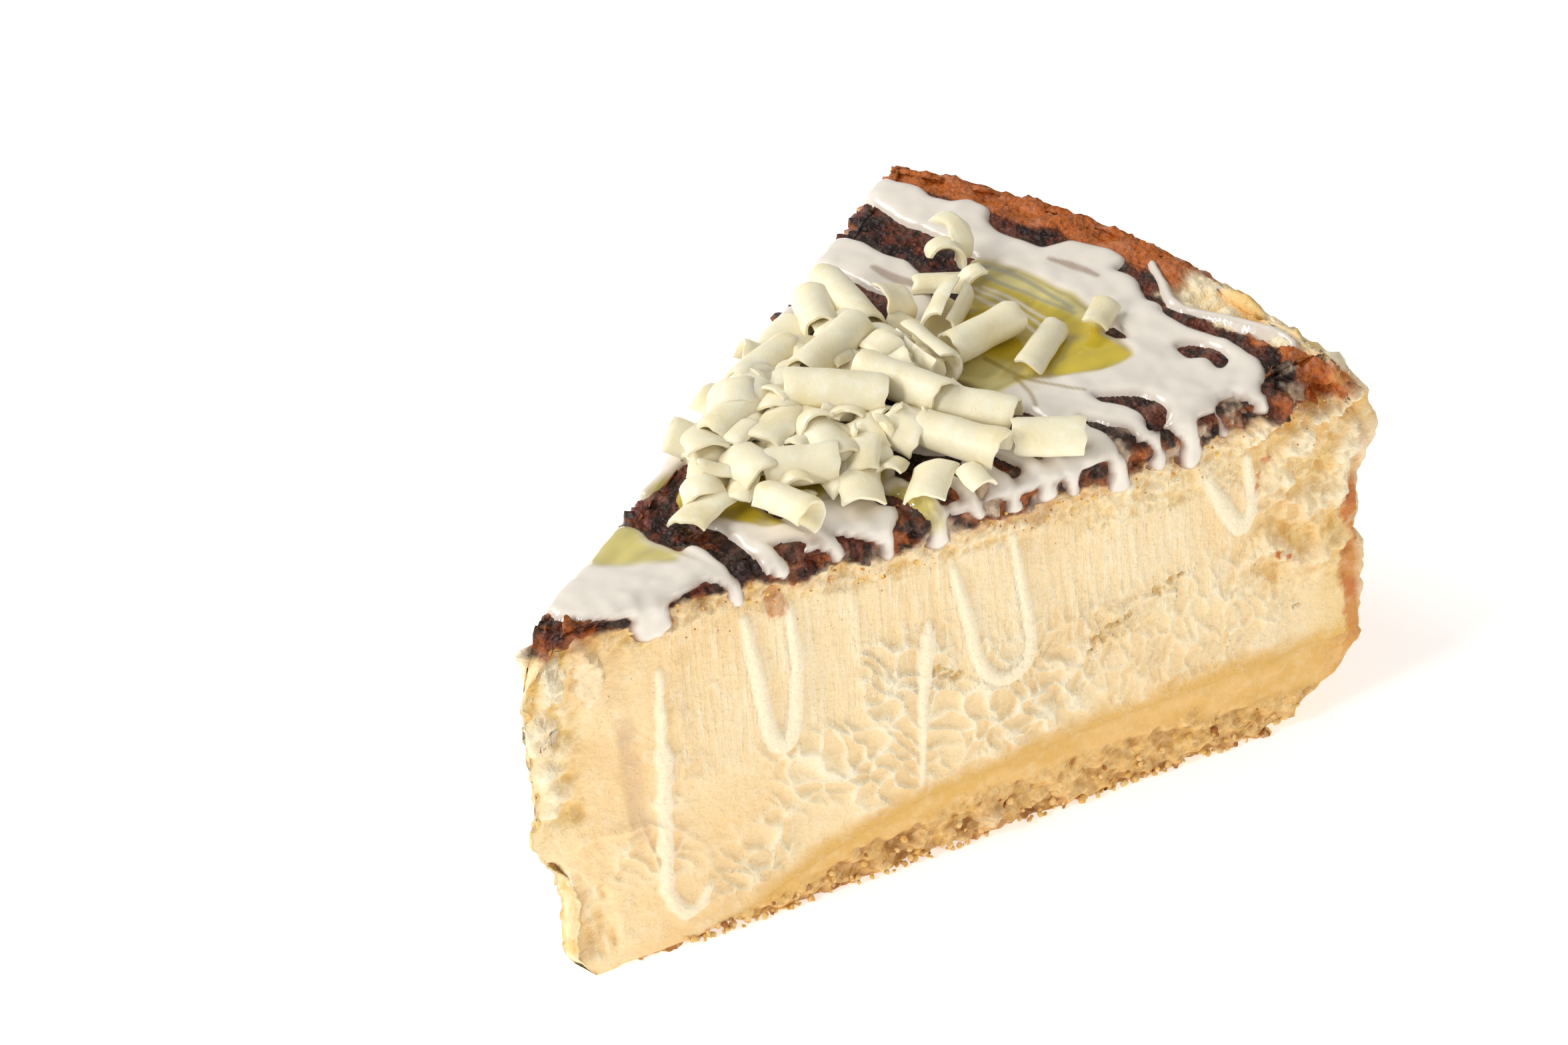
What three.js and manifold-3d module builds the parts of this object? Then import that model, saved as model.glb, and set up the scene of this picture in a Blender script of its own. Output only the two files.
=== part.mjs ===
// A wedge of baked cheesecake: a shortcrust base, a tall cream cheese filling with a browned top and rind,
// glaze poured in bands that run over the cut edge, and a heap of white chocolate curls.
// The cake's centre is at the wedge's point. X runs from there along the middle of the slice to the rind.
// Z is up.
// Everything is laid out from the cake's centre, and the whole slice is moved at the end so that the part's
// origin lies under it, in the plane that it rests on. Millimetres.
import * as THREE from "three";
import { mergeVertices } from "three/addons/utils/BufferGeometryUtils.js";
import Module from "manifold-3d";

const wasm = await Module();
wasm.setup();

// Driving dimensions
const CAKE_HEIGHT = 57; // to the browned top
const WEDGE_ANGLE = THREE.MathUtils.degToRad(39.5); // a ninth of the cake
const HALF_ANGLE = WEDGE_ANGLE / 2;
const CENTRE_TO_ORIGIN = 66;
const CLEARANCE = 0.3; // between pieces that touch
const TOP_ROUNDING = 3; // of the edge between the top and a cut face
const ROUNDING_SHARE = 0.12; // most that the rounding may be of the distance from the centre
const GLAZE_HEIGHT = 1.3; // how far a band of glaze stands proud
const GLAZE_SINK = 0.5; // how deep its widest line lies under the surface
const CURL_WALL = 0.9;

// Outlines as [height, distance from the cake's centre]
const RIND_PROFILE = [
  [0, 110], [3, 115], [7, 121.5], [12, 125.5], [22, 124.5], [34, 124], [44, 126], [51, 125.5], [55, 123],
  [57, 119],
];
const TIP_PROFILE = [[0, 9], [10, 7.5], [18, 4.5], [23, 2.8], [44, 2.8], [50, 4], [54, 6.5], [57, 9.5]];
// The base's upper side as [distance from the cake's centre, height]
const BASE_TOP = [[0, 1], [16, 1.2], [30, 3.2], [45, 8], [60, 11.5], [90, 12.5], [126, 13.5]];
const BASE_START = 16; // the base is broken away between the point and here

// Value at x on the line through the pairs, which are in rising order.
function along(pairs, x) {
  const last = pairs.length - 1;
  if (x <= pairs[0][0]) return pairs[0][1];
  if (x >= pairs[last][0]) return pairs[last][1];
  const k = pairs.findIndex((p) => p[0] > x);
  const [x0, y0] = pairs[k - 1];
  const [x1, y1] = pairs[k];
  return y0 + ((y1 - y0) * (x - x0)) / (x1 - x0);
}

const lerp = THREE.MathUtils.lerp;
const smooth = THREE.MathUtils.smoothstep;

// A fixed value from -1 to 1 for each whole-number corner of space.
function cornerValue(i, j, k) {
  let h = Math.imul(i, 374761393) + Math.imul(j, 668265263) + Math.imul(k, 1274126177);
  h = Math.imul(h ^ (h >>> 13), 1103515245);
  h ^= h >>> 16;
  return ((h >>> 0) / 4294967295) * 2 - 1;
}

// Smooth noise from -1 to 1 whose lumps are about size across.
function noise(p, size) {
  const q = p.clone().divideScalar(size);
  const [i, j, k] = [Math.floor(q.x), Math.floor(q.y), Math.floor(q.z)];
  const [a, b, c] = [smooth(q.x - i, 0, 1), smooth(q.y - j, 0, 1), smooth(q.z - k, 0, 1)];
  let sum = 0;
  for (const [di, wa] of [[0, 1 - a], [1, a]])
    for (const [dj, wb] of [[0, 1 - b], [1, b]])
      for (const [dk, wc] of [[0, 1 - c], [1, c]]) sum += wa * wb * wc * cornerValue(i + di, j + dj, k + dk);
  return sum;
}

// Directions of the two cut faces, from the centre outwards, and their outward normals.
const nearRun = new THREE.Vector3(Math.cos(HALF_ANGLE), -Math.sin(HALF_ANGLE), 0);
const nearOut = new THREE.Vector3(-Math.sin(HALF_ANGLE), -Math.cos(HALF_ANGLE), 0);
const farOut = new THREE.Vector3(-Math.sin(HALF_ANGLE), Math.cos(HALF_ANGLE), 0);
const up = new THREE.Vector3(0, 0, 1);

// A point on the near cut face, s from the centre and z up.
const onNear = (s, z) => nearRun.clone().multiplyScalar(s).setZ(z);

// Height of the browned top: nearly level, with a slightly raised rim.
function topHeight(p) {
  const r = Math.hypot(p.x, p.y);
  const rim = 0.8 * smooth(r, 104, 116);
  return CAKE_HEIGHT + rim + 0.45 * noise(p.clone().setZ(0), 9) - 0.5;
}

// Makes a closed solid from a geometry whose faces share their corners' places.
function solid(geometry) {
  const bare = geometry.clone();
  bare.deleteAttribute("normal");
  bare.deleteAttribute("uv");
  const merged = mergeVertices(bare, 1e-4);
  return new wasm.Manifold(
    new wasm.Mesh({
      numProp: 3,
      vertProperties: new Float32Array(merged.attributes.position.array),
      triVerts: new Uint32Array(merged.index.array),
    }),
  );
}

// Turns a solid back into a geometry for a mesh.
function geometryOf(made) {
  const mesh = made.getMesh();
  const g = new THREE.BufferGeometry();
  g.setAttribute("position", new THREE.BufferAttribute(new Float32Array(mesh.vertProperties), 3));
  g.setIndex(new THREE.BufferAttribute(new Uint32Array(mesh.triVerts), 1));
  g.computeVertexNormals();
  return g;
}

// Moves every vertex of a geometry to place(vertex).
function remap(geometry, place) {
  const position = geometry.attributes.position;
  const v = new THREE.Vector3();
  for (let i = 0; i < position.count; i++) {
    v.fromBufferAttribute(position, i);
    const p = place(v);
    position.setXYZ(i, p.x, p.y, p.z);
  }
  return geometry;
}

// Height of the crags on a cut face: low in the middle, torn near the rind and at the broken point.
function cutRelief(p) {
  const r = Math.hypot(p.x, p.y);
  const torn = smooth(r, 104, 116) * smooth(p.z, 24, 36);
  const point = 1 - smooth(r, 6, 16);
  return (0.25 + 0.9 * torn + 0.7 * point) * noise(p, 4.5) + 0.35 * noise(p, 13);
}

// A wedge-shaped layer of the cake. bottom and top give its heights at a distance from the centre, and start
// is where it begins. A box is bent to it: its x becomes the distance, its y the angle and its z the height.
function layer({ cells, start, bottom, top, rounding, crags }) {
  const box = new THREE.BoxGeometry(1, 1, 1, ...cells);
  return remap(box, (v) => {
    const [u, w] = [v.x + 0.5, v.z + 0.5];
    const angle = 2 * v.y * HALF_ANGLE;
    const p = new THREE.Vector3();
    let [r, low, high] = [lerp(start, 124, u), 0, 0];
    const setPlan = () => p.set(r * Math.cos(angle), r * Math.sin(angle), p.z);
    // The height depends on the distance and the distance on the height, and a few rounds settle both.
    for (let round = 0; round < 6; round++) {
      setPlan();
      [low, high] = [bottom(r), top(p)];
      p.z = lerp(low, high, 1 - (1 - w) ** 1.25);
      r = lerp(Math.max(start, along(TIP_PROFILE, p.z)), along(RIND_PROFILE, p.z), u);
    }
    setPlan();
    if (v.x > 0.49) r += crags * 1.1 * noise(p, 6);
    if (v.x < -0.49) r -= crags * 0.9 * noise(p, 4);
    setPlan();
    const out = v.y < 0 ? nearOut : farOut;
    const round = Math.min(rounding, ROUNDING_SHARE * r);
    if (Math.abs(v.y) > 0.49) {
      const near = round - (high - p.z);
      const drop = near > 0 ? round - Math.sqrt(Math.max(0, round ** 2 - near ** 2)) : 0;
      p.addScaledVector(out, crags * cutRelief(p) - drop);
    } else if (v.z > 0.49) {
      // The rows of the top draw together, so that the rounded edges find room beside them.
      p.addScaledVector(out, -round * Math.abs(2 * v.y));
    }
    return p;
  });
}

// The base: shortcrust, thin where the point broke away and thickest towards the rind.
const base = solid(
  layer({
    cells: [30, 8, 5],
    start: BASE_START,
    bottom: () => 0,
    top: (p) => along(BASE_TOP, Math.hypot(p.x, p.y)),
    rounding: 0,
    crags: 0.6,
  }),
);

// The filling, which reaches down in front of the base at the point.
const fillingBody = solid(
  layer({
    cells: [35, 10, 12],
    start: 0,
    bottom: (r) => along(BASE_TOP, r) + CLEARANCE,
    top: topHeight,
    rounding: TOP_ROUNDING,
    crags: 1,
  }),
);

// A rounded ribbon laid on a surface, with tapered ends. stations holds { at, out, width } from end to end:
// a point on the surface, the surface's outward normal there and the ribbon's width.
function ribbon(stations, height, sides, steps) {
  const path = new THREE.CatmullRomCurve3(stations.map((s) => s.at));
  const last = stations.length - 1;
  const cylinder = new THREE.CylinderGeometry(1, 1, 1, sides, steps);
  return remap(cylinder, (v) => {
    const t = v.y + 0.5;
    const k = Math.min(Math.floor(t * last), last - 1);
    const part = t * last - k;
    const out = stations[k].out.clone().lerp(stations[k + 1].out, part).normalize();
    const width = lerp(stations[k].width, stations[k + 1].width, part);
    const side = path.getTangent(t).cross(out).normalize();
    const taper = 0.2 + 0.8 * Math.sqrt(1 - Math.abs(2 * t - 1) ** 5);
    return path
      .getPoint(t)
      .addScaledVector(side, (v.x * width * taper) / 2)
      .addScaledVector(out, v.z * (height + GLAZE_SINK) * taper - GLAZE_SINK);
  });
}

// Bands of glaze on the top, each as [x, y, width] from one end to the other.
const GLAZE_BANDS = [
  [[13, 2, 8], [18, 0, 13], [24, -5, 9], [29, -9, 4]],
  [[39, 11.5, 6], [38, 4, 7], [37, -4, 7], [34, -10, 4]],
  [[48, 14, 6], [47, 2, 9], [47, -9, 9], [49, -15, 5]],
  [[61, 17, 5], [62, 2, 9], [64, -12, 7], [65, -20, 4]],
  [[93, 31, 6], [94, 24, 8], [94, 16, 7], [87, 9, 7], [82, 0, 8], [84, -10, 11], [89, -17, 9]],
  [[112, 37, 7], [109, 29, 8], [110, 19, 10], [112, 8, 10], [111, -3, 10], [106, -12, 10], [97, -18, 11],
    [86, -19, 8]],
  [[98, -18, 8], [98, -25, 8], [97, -31, 5]],
  [[106, -15, 4], [110, -21, 4], [110, -28, 4], [107, -34, 4]],
];
const bandAt = ([x, y, width]) => {
  const p = new THREE.Vector3(x, y, 0);
  return { at: p.setZ(topHeight(p)), out: up, width };
};

// Fingers of glaze that run over the near edge: [distance from the centre, lowest point, width].
const FINGERS = [
  [19, 53, 6], [31.2, 52.6, 2.2], [38, 54.6, 2.6], [46, 54.4, 2.4], [53.2, 51.2, 2.6], [57, 53.4, 1.8],
  [60.8, 51.4, 3], [72, 51.8, 2.6], [77, 52.2, 2.6], [80.2, 51.2, 2], [87.5, 50.4, 3.6], [93.8, 50.6, 3],
  [98.6, 50.6, 3.4], [109.8, 54, 3],
];
const FINGER_REACH = 8; // how far a finger starts back from the edge
const FINGER_LEAN = 2.5; // how much nearer the point it starts
function finger([s, low, width]) {
  const bend = nearOut.clone().add(up).normalize();
  const backFromEdge = (at, back, z) => onNear(at, z).addScaledVector(nearOut, -back);
  const hidden = TOP_ROUNDING * (1 - Math.SQRT1_2); // how far the rounding cuts the corner, along each face
  return [
    { at: backFromEdge(s - FINGER_LEAN, FINGER_REACH, CAKE_HEIGHT), out: up, width: width * 1.3 },
    { at: backFromEdge(s - FINGER_LEAN / 3, TOP_ROUNDING, CAKE_HEIGHT - 0.3), out: up, width },
    { at: backFromEdge(s, hidden, CAKE_HEIGHT - hidden), out: bend, width },
    { at: backFromEdge(s, 0, low), out: nearOut, width: width * 0.9 },
  ];
}

// Drips on the near face, each as [distance from the centre, height, width].
const DRIPS = [
  [[32, 49, 2], [33.2, 41, 2.6], [34.3, 33, 2.6], [35.8, 28, 2.8], [37.8, 29, 2.8], [38.8, 36, 2.6],
    [38.6, 48, 2]],
  [[62.8, 45, 2], [64.6, 37, 2.6], [66.4, 29, 2.8], [69, 25.8, 2.6], [73, 27, 2.8], [73.2, 34, 2.6],
    [72, 45, 2]],
  [[101, 47, 2], [103.5, 42, 2.8], [106, 37, 3], [107.8, 38.5, 2.6], [107.5, 46, 2]],
  [[58.4, 38, 2], [58, 33, 2.6], [57, 25, 1.8], [56.6, 18, 1.4], [56.3, 12.6, 1.2]],
  [[16.6, 38, 2], [16.8, 24, 2.4], [17.4, 13, 2.4], [19.8, 6.5, 2.4], [24, 9, 1.8]],
];
const dripAt = ([s, z, width]) => ({ at: onNear(s, z), out: nearOut, width });

const glaze = [
  ...GLAZE_BANDS.map((band) => ribbon(band.map(bandAt), GLAZE_HEIGHT, 6, 2 * band.length + 1)),
  ...FINGERS.map((f) => ribbon(finger(f), 1, 6, 5)),
  ...DRIPS.map((drip) => ribbon(drip.map(dripAt), 0.9, 6, drip.length + 3)),
];
const filling = glaze.reduce((whole, piece) => whole.add(solid(piece)), fillingBody);

// A chocolate curl: a thin strip of box bent round its own length.
// span is how far it goes round in degrees, and spread widens the roll from its inner to its outer end.
function curl({ length, radius, span, spread }, cells) {
  const box = new THREE.BoxGeometry(1, 1, 1, cells, 1, 1);
  return remap(box, (v) => {
    const turn = THREE.MathUtils.degToRad(90 + span * v.x);
    const reach = radius * (1 + spread * (v.x + 0.5)) + v.z * CURL_WALL;
    const shorten = 1 - 0.12 * Math.abs(2 * v.x);
    return new THREE.Vector3(v.y * length * shorten, reach * Math.cos(turn), reach * Math.sin(turn));
  });
}

// Lays a curl down: it is turned in plan and set lift above the level floor.
function lay(geometry, { x, y, turn, lift }, floor) {
  geometry.rotateZ(THREE.MathUtils.degToRad(turn)).translate(x, y, 0);
  geometry.computeBoundingBox();
  const lowest = geometry.boundingBox.min.z;
  return geometry.translate(0, 0, floor(geometry.boundingBox) + CLEARANCE + lift - lowest);
}

// The highest point of the glazed filling under a box seen in plan.
const glazed = geometryOf(filling).toNonIndexed();
function fillingUnder(box) {
  const position = glazed.attributes.position;
  const triangle = new THREE.Box3();
  let high = CAKE_HEIGHT - 1;
  for (let i = 0; i < position.count; i += 3) {
    triangle.makeEmpty();
    for (let k = i; k < i + 3; k++) {
      triangle.expandByPoint(new THREE.Vector3().fromBufferAttribute(position, k));
    }
    const level = new THREE.Vector3(0, 0, box.min.z - triangle.min.z);
    const below = triangle.clone().translate(level);
    if (below.intersectsBox(box)) high = Math.max(high, triangle.max.z);
  }
  return high;
}
const heapFloor = () => CAKE_HEIGHT + GLAZE_HEIGHT;

// The curls' kinds: tight rolls, open channels, flat chips and narrow shards.
const ROLL = { radius: 2.1, span: 330, spread: 0.25 };
const CHANNEL = { radius: 2.9, span: 200, spread: 0.12 };
const CHIP = { radius: 5.5, span: 70, spread: 0.1 };
const SHARD = { radius: 2.3, span: 100, spread: 0.1 };

// Curls of the heap: kind, place, direction of the length in degrees, length and lift.
const HEAP_CURLS = [
  [CHANNEL, 61.5, 0.8, -54, 14, 3.4], [CHANNEL, 69, 9, 10, 14, 2.6], [CHANNEL, 69.2, -4, -82, 13.5, 2.6],
  [CHANNEL, 81, 17.5, 68, 15, 0.4], [CHANNEL, 62, 14.5, 4, 11, 1.4], [CHANNEL, 51, 9.5, 6, 12, 1.4],
  [CHIP, 44, 9, 60, 9, 0.8], [CHIP, 52, 3, 12, 9, 3.2], [CHIP, 44, 0.5, 74, 8, 1.6],
  [CHANNEL, 49, -4.4, -42, 10, 0.8], [CHIP, 55, -3, 66, 12, 2.6], [CHANNEL, 72.5, -13.6, -66, 12, 0.8],
  [CHANNEL, 67, -16.6, -74, 12.5, 0.2], [ROLL, 78.5, 0.5, 75, 11, 0], [CHIP, 77, 7, 70, 7, 1.4],
  [CHIP, 70, 19.6, 16, 10, 0.4], [CHANNEL, 76.5, 18.5, 52, 10, 0.4], [CHIP, 58, 7, 34, 10, 3.6],
  [CHIP, 58.4, -9, 40, 9, 0.8], [CHIP, 51.8, -12.2, 50, 8.5, 0.2],
];
const CORES = [
  { x: 56, y: 3, rx: 15, ry: 10, rz: 4.6, turn: 10 },
  { x: 69, y: 3, rx: 12, ry: 13, rz: 4.6, turn: 60 },
  { x: 67.5, y: -8.5, rx: 7, ry: 8.5, rz: 3.2, turn: 0 },
];
const core = ({ x, y, rx, ry, rz, turn }) =>
  new THREE.SphereGeometry(1, 12, 6)
    .scale(rx, ry, rz)
    .rotateZ(THREE.MathUtils.degToRad(turn))
    .translate(x, y, heapFloor());
const laidCurl = ([kind, x, y, turn, length, lift], cells, floor) =>
  solid(lay(curl({ ...kind, length }, cells), { x, y, turn, lift }, floor));
const raisedFilling = filling.translate([0, 0, CLEARANCE]);
const heapParts = [...CORES.map((c) => solid(core(c))), ...HEAP_CURLS.map((c) => laidCurl(c, 7, heapFloor))];
const heap = heapParts.reduce((whole, piece) => whole.add(piece)).subtract(raisedFilling);

// Curls that lie by themselves round the heap.
const LOOSE_CURLS = [
  [ROLL, 87.5, -1.5, -8, 12, 0], [SHARD, 92, -8.4, 20, 12, 0], [SHARD, 102.4, -9.8, 25, 6, 0],
  [ROLL, 89, 6, 26, 10, 0], [SHARD, 95.5, 13, -52, 8, 0], [CHIP, 34.6, 0.4, 10, 8, 0],
  [CHANNEL, 40.6, -9.8, 94, 8.5, 0], [CHIP, 58.4, -18.4, 30, 8, 0], [CHANNEL, 75.4, -24.2, -50, 9.5, 0],
];

// Keeps the largest piece of a solid that a cut has left in several.
const mainPiece = (made) => made.decompose().reduce((a, b) => (b.volume() > a.volume() ? b : a));

const finish = (name, color, roughness) =>
  new THREE.MeshStandardMaterial({ name, color, roughness, metalness: 0 });
const MATERIALS = {
  shortcrust: finish("shortcrust", 0xd2a058, 0.85),
  cheese: finish("cheese", 0xf3dfb4, 0.55),
  chocolate: finish("chocolate", 0xf4eed6, 0.45),
};

const slice = new THREE.Group();
slice.position.x = -CENTRE_TO_ORIGIN;

function addPiece(name, made, material) {
  const mesh = new THREE.Mesh(geometryOf(made), material);
  mesh.name = name;
  slice.add(mesh);
}

addPiece("shortcrust_base", base, MATERIALS.shortcrust);
addPiece("cheese_filling", mainPiece(filling), MATERIALS.cheese);
addPiece("curl_heap", mainPiece(heap), MATERIALS.chocolate);
LOOSE_CURLS.forEach((c, i) => addPiece(`curl_${i + 1}`, laidCurl(c, 8, fillingUnder), MATERIALS.chocolate));

const cheesecake = new THREE.Group();
cheesecake.add(slice);

export default cheesecake;
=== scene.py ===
"""A wedge of baked cheesecake: shortcrust base, browned filling, poured icing, syrup and chocolate curls.

Every shape is worked out in the cake's own frame, in millimetres: the cake's centre is the origin, X runs
along the middle of the slice to the rind, and Z is up. The last step of each piece moves it to the part's
frame.
"""
import math
from itertools import product

import bpy
import numpy as np
from bpy.props import FloatProperty, FloatVectorProperty, IntProperty, PointerProperty
from bpy.types import Operator, Panel, PropertyGroup
from mathutils import Matrix, Vector


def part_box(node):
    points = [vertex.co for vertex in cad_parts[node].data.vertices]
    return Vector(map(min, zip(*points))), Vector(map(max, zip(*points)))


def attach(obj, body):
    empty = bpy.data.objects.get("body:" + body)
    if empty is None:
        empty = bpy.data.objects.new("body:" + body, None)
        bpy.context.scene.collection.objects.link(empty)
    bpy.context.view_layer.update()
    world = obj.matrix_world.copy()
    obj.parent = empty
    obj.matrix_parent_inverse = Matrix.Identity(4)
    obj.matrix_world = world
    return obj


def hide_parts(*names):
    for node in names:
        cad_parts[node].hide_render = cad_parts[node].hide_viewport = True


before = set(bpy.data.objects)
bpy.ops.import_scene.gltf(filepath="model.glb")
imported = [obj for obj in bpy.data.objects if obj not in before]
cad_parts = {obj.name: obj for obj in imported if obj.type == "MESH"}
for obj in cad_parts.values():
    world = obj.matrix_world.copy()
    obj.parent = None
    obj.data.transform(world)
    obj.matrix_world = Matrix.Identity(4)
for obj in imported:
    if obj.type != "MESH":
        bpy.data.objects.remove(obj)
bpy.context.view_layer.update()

bl_info = {
    "name": "Baked cheesecake slice",
    "version": (1, 0, 0),
    "blender": (4, 5, 0),
    "location": "3D view, sidebar, Cheesecake",
    "description": "Builds a slice of baked cheesecake with icing, syrup and chocolate curls",
    "category": "Mesh",
}

# The slice
CENTRE_TO_ORIGIN = 66.0
HALF_ANGLE = math.radians(39.5) / 2
CAKE_HEIGHT = 57.0
EDGE_ROUNDING = 3.0
ROUNDING_SHARE = 0.12  # most that the rounding may be of the distance from the centre
# Profiles of the rind and of the point, as (height, distance from the centre)
RIND_PROFILE = [(0, 110), (3, 115), (7, 121.5), (12, 125.5), (22, 124.5), (34, 124), (44, 126), (51, 125.5),
                (55, 123), (57, 119)]
TIP_PROFILE = [(0, 7), (5, 3.6), (13, 4.6), (18, 3.6), (23, 0.6), (26, -0.8), (30, 0.6), (38, 0.5),
               (47, 0.2), (50, 1.2), (54, 4.5), (57, 8.5)]
# Heights along the slice, as (distance from the centre, height)
BASE_TOP = [(0, 0.9), (16, 1.0), (22, 1.4), (30, 3.2), (45, 8), (60, 11.3), (90, 12.4), (126, 13.2)]
FILLING_BOTTOM = [(0, 0.2), (15, 0.3), (22, 0.6), (30, 2.0), (45, 6.9), (60, 10.3), (90, 11.4), (126, 12.2)]
BASE_START = 13.0  # distance from the centre where the base starts
SKIN_LOW = [(0, 54), (6, 54.6), (33, 54.6), (37, 52.8), (45, 52.9), (50, 51.6), (100, 51.4), (105, 53),
            (126, 52.6)]

# Steps of the meshes: along a cut face, across the slice, up a wall and round its top edge
SIDE_STEPS = 236
END_STEPS = 104
WALL_ROWS = 76
ARC_ROWS = 8
FACE_TOP_ROWS = 7  # rows of the top that the finer near face takes in
SEAM = 2.6  # how far in from its border the finer near face takes over
HIDDEN = 1.2  # how deep the hidden one of the two lies there
SKIRT = 4.0  # how deep the border of the finer face reaches

NEAR_RUN = np.array([math.cos(HALF_ANGLE), -math.sin(HALF_ANGLE), 0.0])
NEAR_OUT = np.array([-math.sin(HALF_ANGLE), -math.cos(HALF_ANGLE), 0.0])
FAR_RUN = NEAR_RUN * (1, -1, 1)
FAR_OUT = NEAR_OUT * (1, -1, 1)
# Seen as in the photograph, a point one millimetre below the top seems to lie this much nearer in plan.
SLIDE = np.array([-1.004, -1.023])


# Arithmetic
def linear(red, green, blue):
    """Linear colour of an sRGB one given from 0 to 255."""
    c = np.array([red, green, blue]) / 255
    return np.where(c <= 0.04045, c / 12.92, ((c + 0.055) / 1.055) ** 2.4)


def smooth(x, low, high):
    """0 below low, 1 above high, and the cubic 3t^2 - 2t^3 between them."""
    t = np.clip((x - low) / (high - low), 0, 1)
    return t * t * (3 - 2 * t)


def between(x, low, high, soft):
    """1 from low to high, falling to 0 over soft on both sides."""
    return smooth(x, low - soft, low) * (1 - smooth(x, high, high + soft))


def blend(colours, colour, amount):
    """Colours moved towards one colour, or one for each point, by an amount for each point."""
    return colours + (np.asarray(colour) - colours) * np.clip(amount, 0, 1)[:, None]


def curve_through(pairs, blur=1.5):
    """Function y(x) on the line through the pairs, averaged over a window of blur each way."""
    x, y = np.array(pairs, float).T
    fine = np.linspace(x[0] - 4 * blur, x[-1] + 4 * blur, 800)
    window = max(1, int(blur / (fine[1] - fine[0])))
    kernel = np.ones(2 * window + 1) / (2 * window + 1)
    line = np.interp(fine, x, y)
    padded = np.concatenate((np.full(window, line[0]), line, np.full(window, line[-1])))
    soft = np.convolve(padded, kernel, "valid")
    return lambda value: np.interp(value, fine, soft)


rind_distance = curve_through(RIND_PROFILE)
tip_distance = curve_through(TIP_PROFILE, 0.8)
base_top = curve_through(BASE_TOP, 2)
filling_bottom = curve_through(FILLING_BOTTOM, 2)
skin_low = curve_through(SKIN_LOW, 1)


def lattice_number(i, j, k, seed):
    """One 32-bit number for each whole-number corner: products by large odd numbers, added and folded."""
    h = i.astype(np.uint32) * np.uint32(374761393) + j.astype(np.uint32) * np.uint32(668265263)
    h += k.astype(np.uint32) * np.uint32(1274126177) + np.uint32((seed * 974634777) & 0xFFFFFFFF)
    h = (h ^ (h >> np.uint32(13))) * np.uint32(1103515245)
    h = (h ^ (h >> np.uint32(16))) * np.uint32(2246822519)
    return h ^ (h >> np.uint32(14))


def three_parts(h):
    """Three numbers from -1 to 1 from the low, middle and high ten bits of h."""
    return [((h >> np.uint32(shift)) & np.uint32(1023)) / 511.5 - 1 for shift in (0, 10, 20)]


def noise(p, size, seed=0):
    """Gradient noise from about -1 to 1. Each corner of a lattice of that size holds a random slope g, and
    the eight products g.(p - corner) round a point are blended by 6t^5 - 15t^4 + 10t^3."""
    q = p / np.asarray(size, float)
    corner = np.floor(q)
    f = q - corner
    ease = f**3 * (f * (f * 6 - 15) + 10)
    whole = corner.astype(np.int64)
    total = 0
    for dx, dy, dz in product((0, 1), repeat=3):
        h = lattice_number(whole[:, 0] + dx, whole[:, 1] + dy, whole[:, 2] + dz, seed)
        gx, gy, gz = three_parts(h)
        slope = gx * (f[:, 0] - dx) + gy * (f[:, 1] - dy) + gz * (f[:, 2] - dz)
        wx, wy, wz = np.abs(1 - np.array((dx, dy, dz)) - ease).T
        total = total + slope * (wx * wy * wz)
    return total * 1.5


def rough(p, size, octaves=3, seed=0):
    """Sum of noises, each half the size and a little over half the height of the one before."""
    return sum(0.55**k * noise(p, np.asarray(size, float) / 2**k, seed + 17 * k) for k in range(octaves))


def cells(p, size, seed=0):
    """Distances to the nearest and second nearest of one random point in each lattice cell, in cell sizes,
    and a random number from 0 to 1 that belongs to the nearest. The points have two or three
    coordinates."""
    q = p / np.asarray(size, float)
    wide = q.shape[1]
    home = np.floor(q)
    first = np.full(len(q), 9.0)
    second = np.full(len(q), 9.0)
    owner = np.zeros(len(q))
    for step in product((-1, 0, 1), repeat=wide):
        cell = home + step
        whole = cell.astype(np.int64)
        depth = whole[:, 2] if wide == 3 else 0 * whole[:, 0]
        h = lattice_number(whole[:, 0], whole[:, 1], depth, seed)
        point = cell + 0.5 + 0.5 * np.stack(three_parts(h), -1)[:, :wide]
        d = np.linalg.norm(q - point, axis=1)
        closer = d < first
        second = np.where(closer, first, np.minimum(second, d))
        owner = np.where(closer, (h & np.uint32(255)) / 255, owner)
        first = np.where(closer, d, first)
    return first, second, owner


# Meshes
CRISP_ANGLE = math.radians(48)  # sharpest bend that shows as round on a curl


def make_piece(name, points, faces, finish, attributes, replaced=(), crisp=False):
    """Puts points in millimetres and faces into a mesh object in metres, and says what it rides on. Crisp
    pieces keep their sharp bends."""
    mesh = bpy.data.meshes.new(name)
    places = (np.asarray(points) - (CENTRE_TO_ORIGIN, 0, 0)) / 1000
    mesh.from_pydata(places.tolist(), [], faces)
    for label, values in attributes.items():
        flat = values.ndim == 1
        layer = mesh.attributes.new(label, "FLOAT" if flat else "FLOAT_COLOR", "POINT")
        full = values if flat else np.concatenate((values, np.ones((len(values), 1))), 1)
        layer.data.foreach_set("value" if flat else "color", full.astype(np.float32).ravel())
    mesh.polygons.foreach_set("use_smooth", np.ones(len(mesh.polygons), bool))
    if crisp:
        mesh.set_sharp_from_angle(angle=CRISP_ANGLE)
    mesh.materials.append(finish)
    mesh.validate()
    mesh.update()
    piece = bpy.data.objects.new(name, mesh)
    bpy.context.collection.objects.link(piece)
    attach(piece, "root")
    if replaced:
        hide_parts(*replaced)
    return piece


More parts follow.
